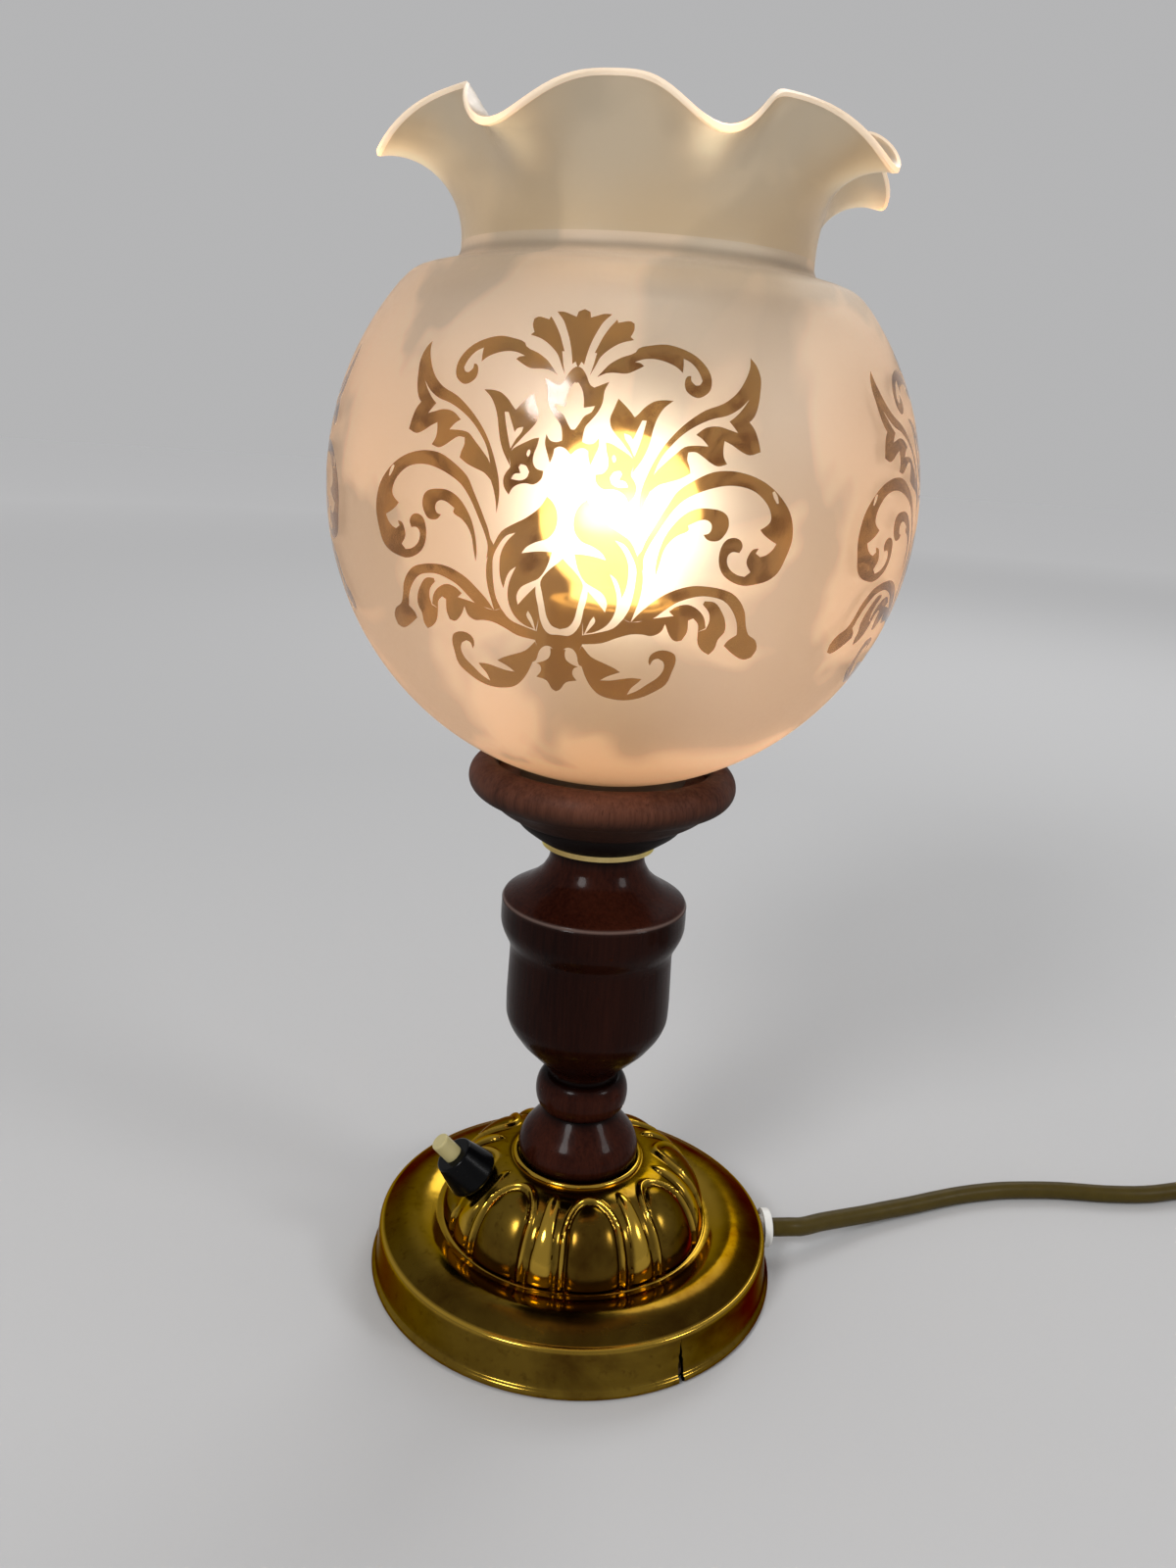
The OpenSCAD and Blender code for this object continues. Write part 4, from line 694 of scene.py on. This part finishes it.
# The finishes of the globe. A face takes the later one of its two rows of points
FROSTED, STAINED, CLEAR, RUFFLE, RIM, SHADED_FOOT, RUFFLE_IN = range(7)
GLASS_FINISHES = ["frosted_glass", "amber_stain", "inner_glass", "shaded_ruffle_glass", "rim_glass", "shaded_glass_foot",
                  "ruffle_inside"]
# How strongly the bulb lights the glass, at these heights
GLOW_AT = (165.0, 172.0, 182.0, 245.0, 285.0, 299.0, 304.0, 309.0, 322.0, 340.0)
GLOW = (0.1, 1.4, 1.9, 1.55, 0.75, 0.5, 0.3, 0.36, 0.3, 0.28)
TROUGH_GLOW, TROUGH_NARROW, TROUGH_Z, TROUGH_FADE = 1.4, 10, 317.0, 8.0
# Lean of the ornament's axis: its direction from -Y, at these heights up the globe
LEAN_AT = (-55.0, -46.0, -33.0, -18.0, 0.0, 12.0, 34.0, 41.0)
LEAN = (-9.0, -9.6, -10.4, -8.9, -8.4, -8.3, -9.0, -9.0)
# Bends sharper than CORNER stay corners; grid points keep CLEAR_OF_LINE from an outline
CARTOUCHES, CORNER, SMOOTH_PARTS, CLEAR_OF_LINE = 4, 52, 3, 0.4
# Outlines of one half of the ornament, in tenths of a degree: by turns from its axis, and up the globe
TENTHS = 10
ORNAMENT = {
    "flame": [[
        -299, 268, -296, 252, -284, 229, -267, 207, -243, 189, -211, 176, -184, 158, -162, 138, -144, 116,
        -131, 94, -121, 71, -114, 49, -111, 23, -114, -6, -117, 15, -122, 33, -127, 45, -130, 66, -135, 84,
        -143, 101, -156, 118, -174, 136, -196, 151, -222, 163, -248, 170, -270, 182, -288, 198, -276, 183,
        -262, 169, -251, 161, -268, 154, -286, 162, -296, 172, -304, 189, -310, 211, -314, 234, -309, 255]],
    "lobes": [[
        -286, 162, -268, 154, -251, 161, -258, 153, -265, 144, -250, 148, -233, 152, -212, 149, -195, 137,
        -205, 131, -215, 120, -193, 120, -177, 117, -163, 105, -147, 90, -132, 73, -130, 66, -127, 45, -140, 56,
        -154, 61, -173, 68, -188, 77, -186, 87, -182, 98, -183, 109, -195, 110, -209, 102, -221, 94, -232, 90,
        -247, 94, -241, 105, -240, 118, -242, 130, -255, 124, -270, 115, -285, 110, -304, 116, -301, 132, -295, 150]],
    "petal": [[
        -159, 188, -143, 188, -128, 185, -113, 175, -104, 165, -97, 158, -88, 169, -80, 177, -70, 186, -63, 168,
        -58, 154, -60, 141, -67, 131, -78, 119, -87, 108, -93, 101, -97, 94, -99, 83, -96, 69, -102, 78, -111, 92,
        -118, 108, -123, 125, -127, 143, -134, 161, -144, 176], [
        -116, 154, -109, 154, -102, 139, -95, 123, -91, 129, -81, 132, -83, 124, -91, 113, -97, 101, -99, 97,
        -104, 111, -111, 134]],
    "petal_foot": [[
        -97, 94, -85, 103, -74, 109, -62, 115, -53, 117, -55, 104, -59, 91, -59, 78, -53, 69, -41, 66, -43, 54,
        -55, 44, -68, 45, -81, 42, -90, 35, -95, 25, -104, 37, -106, 50, -102, 60, -96, 69, -99, 83], [
        -93, 50, -88, 58, -78, 60, -82, 69, -79, 74, -70, 72, -64, 63, -67, 54, -76, 49, -86, 49], [
        -71, 89, -70, 95, -67, 98, -65, 95, -66, 89, -68, 86]],
    "arch": [[
        -33, 218, -43, 230, -52, 240, -57, 244, -72, 253, -95, 263, -100, 270, -124, 277, -147, 280, -167, 277,
        -185, 271, -200, 263, -213, 251, -222, 236, -224, 222, -220, 208, -210, 199, -199, 195, -187, 199,
        -179, 207, -178, 220, -183, 229, -189, 230, -189, 222, -196, 215, -203, 216, -208, 223, -204, 234,
        -197, 245, -188, 253, -177, 258, -177, 249, -175, 234, -166, 242, -148, 250, -127, 254, -108, 252,
        -95, 247, -105, 245, -110, 241, -96, 233, -82, 227, -59, 227, -47, 225]],
    "fan_side": [[
        -92, 284, -86, 289, -92, 302, -92, 313, -85, 317, -71, 315, -63, 313, -61, 319, -49, 304, -38, 286,
        -31, 270, -26, 258, -30, 258, -26, 239, -21, 220, -29, 236, -37, 252, -54, 268, -71, 278]],
    "fan_mid": [[
        -51, 328, -37, 328, -22, 323, -13, 320, -11, 330, 0, 335, 0, 231, -5, 242, -10, 237, -13, 254, -19, 276,
        -27, 295, -36, 312]],
    "calyx": [[
        0, 233, -4, 233, -15, 221, -23, 205, -30, 201, -54, 212, -47, 197, -45, 179, -39, 164, -28, 149, -20, 139,
        -17, 127, -16, 115, -24, 112, -35, 114, -42, 123, -43, 110, -38, 95, -32, 79, -28, 91, -27, 101, -20, 105,
        -10, 103, 0, 94, 0, 133, -3, 133, -9, 142, -17, 155, -28, 162, -33, 172, -15, 168, -14, 184, -10, 198,
        -3, 208, 0, 207]],
    "scroll": [[
        -117, -57, -122, -48, -127, -32, -135, -15, -145, 5, -156, 25, -170, 48, -198, 68, -226, 81, -254, 84,
        -279, 81, -305, 73, -327, 61, -347, 44, -363, 24, -371, 4, -374, -18, -373, -29, -367, -51, -357, -76,
        -341, -89, -317, -96, -297, -98, -272, -90, -256, -77, -248, -58, -249, -36, -256, -24, -269, -20,
        -280, -24, -285, -34, -281, -44, -269, -43, -263, -48, -262, -58, -268, -70, -283, -80, -297, -83,
        -306, -75, -296, -60, -298, -47, -304, -38, -314, -36, -310, -44, -319, -50, -330, -46, -340, -37,
        -345, -28, -331, -21, -319, -13, -312, -6, -323, 1, -329, 9, -327, 23, -318, 37, -298, 53, -276, 60,
        -250, 61, -226, 56, -202, 47, -181, 35, -166, 19, -155, 2, -143, -20, -134, -38, -127, -59, -129, -81,
        -123, -72], [
        -332, 56, -328, 54, -331, 46, -338, 36, -341, 37, -338, 48]],
    "inner_curl": [[
        -149, -88, -147, -72, -150, -45, -157, -22, -167, -5, -180, 10, -193, 19, -209, 24, -226, 24, -243, 21,
        -253, 14, -257, 1, -256, -7, -252, -16, -244, -25, -233, -27, -223, -24, -217, -17, -225, -15, -229, -8,
        -228, 0, -220, 6, -208, 5, -198, 0, -191, -4, -193, -10, -191, -13, -177, -20, -165, -31, -157, -46,
        -153, -67]],
    "leaf_rim": [[
        -154, -160, -169, -147, -187, -132, -207, -123, -227, -118, -249, -119, -269, -125, -288, -142, -302, -165,
        -308, -186, -295, -197, -291, -207, -315, -224, -341, -235, -355, -231, -359, -215, -349, -197, -330, -185,
        -320, -168, -312, -145, -299, -126, -282, -112, -262, -105, -236, -101, -212, -101, -189, -107, -167, -118,
        -149, -133, -131, -151, -118, -169]],
    "leaf_lobe": [[
        -236, -126, -254, -128, -268, -142, -280, -162, -283, -181, -276, -195, -275, -214, -268, -225, -252, -216,
        -241, -203, -235, -181, -248, -176, -251, -161, -247, -146, -234, -132]],
    "leaf_body": [[
        -179, -146, -191, -137, -208, -133, -227, -141, -241, -156, -247, -174, -235, -181, -232, -167, -222, -157,
        -214, -161, -216, -183, -211, -198, -200, -200, -187, -189, -176, -169, -171, -184, -157, -192, -141, -190,
        -122, -191, -100, -199, -75, -211, -42, -216, -40, -199, -65, -192, -90, -182, -105, -164, -118, -169,
        -154, -160, -170, -157, -188, -154]],
    "tulip": [[
        -32, 27, -41, 11, -64, -9, -85, -21, -104, -34, -117, -57, -126, -75, -130, -100, -128, -128, -122, -153,
        -118, -169, -105, -164, -113, -146, -117, -121, -118, -99, -117, -77, -108, -57, -95, -40, -80, -34,
        -93, -48, -103, -67, -106, -89, -104, -113, -99, -128, -94, -110, -87, -97, -77, -89, -84, -104, -90, -121,
        -92, -141, -88, -161, -78, -178, -60, -191, -45, -195, -52, -184, -59, -171, -56, -163, -50, -173,
        -42, -199, -39, -182, -37, -164, -43, -130, -43, -119, -57, -134, -74, -154, -76, -139, -68, -123,
        -54, -114, -38, -105, -25, -84, -18, -60, -34, -60, -50, -62, -68, -66, -61, -56, -45, -46, -27, -39,
        -15, -23, -14, 3, -23, 20]],
    "bell": [[
        -35, -110, -22, -90, -9, -78, 0, -69, 0, -191, -14, -186, -23, -172, -28, -149, -32, -129]],
    "knot": [[
        -42, -216, -40, -199, -37, -164, -34, -179, -25, -196, -16, -202, -5, -202, 0, -202, 0, -232, -8, -230,
        -17, -225, -26, -227, -34, -237, -40, -257, -46, -261, -37, -233]],
    "knot_flower": [[
        0, -229, -14, -229, -13, -238, -16, -249, -26, -257, -39, -262, -32, -266, -30, -278, -39, -292, -19, -298,
        -8, -316, 0, -321]],
    "foot_scroll": [[
        -212, -241, -207, -227, -195, -220, -177, -219, -164, -228, -163, -242, -167, -250, -171, -238, -179, -235,
        -190, -242, -194, -258, -187, -275, -172, -290, -156, -306, -139, -316, -144, -300, -154, -287, -159, -279,
        -140, -278, -119, -282, -102, -286, -83, -287, -93, -279, -104, -273, -117, -267, -106, -260, -86, -251,
        -60, -239, -42, -219, -37, -233, -46, -261, -55, -283, -68, -304, -85, -320, -104, -327, -135, -330,
        -164, -323, -188, -308, -207, -289, -211, -261]],
}


def ends_of_curve(a, b, c):
    """Directions in which a line through a, b, c comes to b and leaves it: one and the same unless b is a corner."""
    into, out = (b - a) / np.linalg.norm(b - a), (c - b) / np.linalg.norm(c - b)
    if np.dot(into, out) < cos(radians(CORNER)):
        return into, out
    both = into + out
    both /= np.linalg.norm(both)
    return both, both


def soft_outline(numbers):
    """Rounds a drawn outline and keeps its corners."""
    p = np.reshape(numbers, (-1, 2)) / TENTHS
    n = len(p)
    ways = [ends_of_curve(p[i - 1], p[i], p[(i + 1) % n]) for i in range(n)]
    line = []
    for i in range(n):
        b, c = p[i], p[(i + 1) % n]
        pull = np.linalg.norm(c - b)
        start, end = pull * ways[i][1], pull * ways[(i + 1) % n][0]
        for t in np.arange(SMOOTH_PARTS) / SMOOTH_PARTS:
            line.append((1 - t) ** 2 * (1 + 2 * t) * b + t * t * (3 - 2 * t) * c
                        + t * (1 - t) ** 2 * start - t * t * (1 - t) * end)
    return np.array(line)


def inside(spots, outline):
    """Which spots lie inside a closed outline."""
    x, y = spots[:, 0], spots[:, 1]
    found = np.zeros(len(spots), bool)
    for (ax, ay), (bx, by) in zip(outline, np.roll(outline, -1, axis=0)):
        if ay != by:
            found ^= ((ay > y) != (by > y)) & (x < (bx - ax) * (y - ay) / (by - ay) + ax)
    return found


def stained_sector():
    """One quarter of the globe as triangles, placed from the ornament's axis, and which of them are stained."""
    shapes = []
    for loops in ORNAMENT.values():
        half = [soft_outline(loop) for loop in loops]
        shapes += [half, [line * (-1, 1) for line in half]]
    spots, links = [], []
    for line in (line for shape in shapes for line in shape):
        first, count = len(spots), len(line)
        spots += [tuple(q) for q in line]
        links += [(first + i, first + (i + 1) % count) for i in range(count)]
    drawn = np.array(spots)
    side = 180.0 / CARTOUCHES
    for lat in np.arange(GLOBE_LOW, GLOBE_HIGH + 0.1, ROW_STEP):
        for d in np.arange(-side, side + 0.1, COLUMN_STEP):
            if np.min(np.hypot(*(drawn - (d, lat)).T)) > CLEAR_OF_LINE:
                spots.append((d, lat))
    flat, _, faces, *_ = delaunay_2d_cdt([Vector(q) for q in spots], links, [], 0, 1e-4)
    flat = np.array([tuple(q) for q in flat])
    centres = np.array([flat[list(f)].mean(axis=0) for f in faces])
    stained = np.zeros(len(faces), bool)
    for shape in shapes:
        within = np.zeros(len(faces), bool)
        for line in shape:
            within ^= inside(centres, line)
        stained |= within
    return flat, faces, stained


def globe_at(lat, inset=0.0):
    """Outline of the globe. Degrees up are counted on its height, and its roundness is a little fuller."""
    z = (GLOBE_H - inset) * sin(radians(lat))
    return (GLOBE_R - inset) * sqrt(1 - (z / (ROUND_H - inset)) ** 2), GLOBE_Z + z


def on_globe(d, lat):
    """A spot of the ornament on the globe, with the lean of its axis."""
    r, z = globe_at(lat)
    return (*turned(np.interp(lat, LEAN_AT, LEAN) + d - 90, r), z)


def ruffle_wave(direction):
    """1 in the middle of a trough of the ruffled edge, and 0 on a crest."""
    return (1 + cos(radians(RUFFLES * (direction - TROUGH_AT)))) / 2


def flare_at(turn, s, depth):
    """The ruffled edge where it turns out by this angle, at a share s of its length and this deep in the glass."""
    w, b = radians(turn), radians(turn * s)
    return (GLASS_NECK_R + FLARE_L * (1 - cos(b)) / w - depth * cos(b),
            FLARE_Z + FLARE_L * sin(b) / w + depth * sin(b))


def edge_line(direction):
    """From the globe's top over the ruffled edge, down the inside and round the foot to the globe's low row.
    Each point comes with its finish."""
    shy = abs((direction - SHY_RUFFLE_AT + 180) % 360 - 180) < 180 / RUFFLES
    swing = (TROUGH_TURN - CREST_TURN) * (SHY_SHARE if shy else 1.0)
    turn = CREST_TURN + swing * ruffle_wave(direction) ** RUFFLE_SHARPNESS
    high = globe_at(GLOBE_HIGH)
    shoulder = rounded([high, (high[0] - ROLL_IN, high[1] + ROLL_UP), (GLASS_NECK_R + CREASE_OUT, CREASE_Z),
                        (GLASS_NECK_R + CREASE_EDGE, CREASE_Z + CREASE_UP), flare_at(turn, 0, 0)], SHOULDER_PARTS)
    line = [(q, FROSTED) for q in shoulder[:-1]]
    line += [(flare_at(turn, s, 0), RUFFLE) for s in np.linspace(0, RIM_FROM, FLARE_ROWS)]
    line += [(flare_at(turn, RIM_TO, (1 - RIM_THINNED) * GLASS_T * k), RIM) for k in (0.15, 0.5, 0.85)]
    line += [(flare_at(turn, s, GLASS_T * (1 - RIM_THINNED * s ** 3)), CLEAR if s == RIM_FROM else RUFFLE_IN)
             for s in np.linspace(RIM_FROM, 0, FLARE_ROWS)]
    line += [((GLASS_NECK_R - GLASS_T + 0.5, CREASE_Z + 0.6), CLEAR), ((GLASS_NECK_R + 9, high[1] + 0.2), CLEAR)]
    line += [(globe_at(a, GLASS_T), CLEAR) for a in np.linspace(GLOBE_HIGH - 3, GLOBE_END - 2, INNER_ROWS)]
    # The glass's foot is painted dark: painted shade
    line += [((FITTER_IN_R, GLASS_Z + FITTER_IN_H), CLEAR), ((FITTER_IN_R, GLASS_Z), SHADED_FOOT),
             ((FITTER_R, GLASS_Z), SHADED_FOOT), ((FITTER_R, GLASS_Z + FITTER_H), SHADED_FOOT)]
    return line + [(globe_at(a), FROSTED) for a in np.linspace(GLOBE_END, GLOBE_LOW, LOW_ROWS)]


def add_shade():
    flat, triangles, stained = stained_sector()
    points, faces, which = [], [], []
    for k in range(CARTOUCHES):
        first = len(points)
        points += [on_globe(d + k * 360 / CARTOUCHES, lat) for d, lat in flat]
        faces += [tuple(first + i for i in f) for f in triangles]
        which += [STAINED if s else FROSTED for s in stained]
    count = round(360 / COLUMN_STEP)
    directions = LEAN[-1] - 90 + np.arange(count) * COLUMN_STEP - 180 / CARTOUCHES
    lines = [edge_line(a) for a in directions]
    rows, first = len(lines[0]), len(points)
    points += [(*turned(a, q[0]), q[1]) for a, line in zip(directions, lines) for q, _ in line]
    for j in range(count):
        here, there = first + j * rows, first + (j + 1) % count * rows
        for i in range(rows - 1):
            faces.append((here + i, there + i, there + i + 1, here + i + 1))
            which.append(max(lines[0][i][1], lines[0][i + 1][1]))
    made = piece("glass_globe", points, faces, GLASS_FINISHES, "shade",
                 ["glass_shade", "glass_crown", "glass_ruffle"], sharp=60.0, which=which)

    def glow(r, z, a):
        trough = TROUGH_GLOW * ruffle_wave(a) ** TROUGH_NARROW * ease((z - TROUGH_Z) / TROUGH_FADE)
        return np.interp(z, GLOW_AT, GLOW) + trough

    mark_by_place(made, "glow", glow)
    # A painted shade line along the crease under the neck
    mark_by_place(made, "grime_and_shade", lambda r, z, a: 0.8 * peak(z, CREASE_Z + 1.6, 1.3))
    weld(made)


# Stage, in metres: a grey floor that pales with its distance from the lamp, and three studio lamps
FLOOR_NEAR, FLOOR_FAR, PALING = (0.56, 0.56, 0.565), (0.92, 0.92, 0.93), (0.6, 3.0)
FLOOR_HALF, FLOOR_Z = 6, -0.0002
LIGHT_LEVEL, VIEW_COLOUR = 0.5, (0.46, 0.46, 0.465)
AIM = Vector((0, 0, 0.16))
# Each lamp's name, place, size and watts
LAMPS = (("key", (-0.72, -1.15, 1.15), 0.45, 11.0), ("fill", (1.3, -0.6, 0.95), 0.4, 5.0),
         ("back", (0.5, 1.2, 1.3), 0.8, 6.0))


def add_stage():
    world = bpy.context.scene.world or bpy.data.worlds.new("world")
    bpy.context.scene.world = world
    world.use_nodes = True
    world.node_tree.nodes.clear()
    new, link = world.node_tree.nodes.new, world.node_tree.links.new
    path = new("ShaderNodeLightPath")
    seen = path.outputs["Is Camera Ray"]
    for other in ("Is Glossy Ray", "Is Transmission Ray"):
        either = new("ShaderNodeMath")
        either.operation = "MAXIMUM"
        link(seen, either.inputs[0])
        link(path.outputs[other], either.inputs[1])
        seen = either.outputs[0]
    mixed = new("ShaderNodeMixShader")
    link(seen, mixed.inputs[0])
    for colour, strength, socket in (((1, 1, 1), LIGHT_LEVEL, 1), (VIEW_COLOUR, 1.0, 2)):
        back = new("ShaderNodeBackground")
        back.inputs["Color"].default_value = (*colour, 1.0)
        back.inputs["Strength"].default_value = strength
        link(back.outputs[0], mixed.inputs[socket])
    link(mixed.outputs[0], new("ShaderNodeOutputWorld").inputs[0])

    mesh = bpy.data.meshes.new("floor")
    corners = ((-1, -1), (1, -1), (1, 1), (-1, 1))
    mesh.from_pydata([(x * FLOOR_HALF, y * FLOOR_HALF, FLOOR_Z) for x, y in corners], [], [(0, 1, 2, 3)])
    finish = Finish("floor", Roughness=0.85)
    away = finish.build("VectorMath", "Value", {0: finish.place}, operation="LENGTH")
    paler = finish.span(away, 0.0, 1.0, *PALING)
    finish.put(Base_Color=finish.mix(paler, FLOOR_NEAR, FLOOR_FAR))
    mesh.materials.append(finish.material)
    add_object("floor", mesh)

    for name, at, size, watts in LAMPS:
        data = bpy.data.lights.new(name, "AREA")
        data.shape = "DISK"
        data.size = size
        data.energy = watts
        lamp = add_object(name, data)
        lamp.location = at
        lamp.rotation_euler = (AIM - Vector(at)).to_track_quat("-Z", "Y").to_euler()


add_camera()
add_cord()
add_stage()
dress_kept_nodes()
add_foot()
add_spring()
add_stem()
add_cup()
add_bulb()
add_shade()
bpy.context.scene.view_settings.view_transform = "Standard"
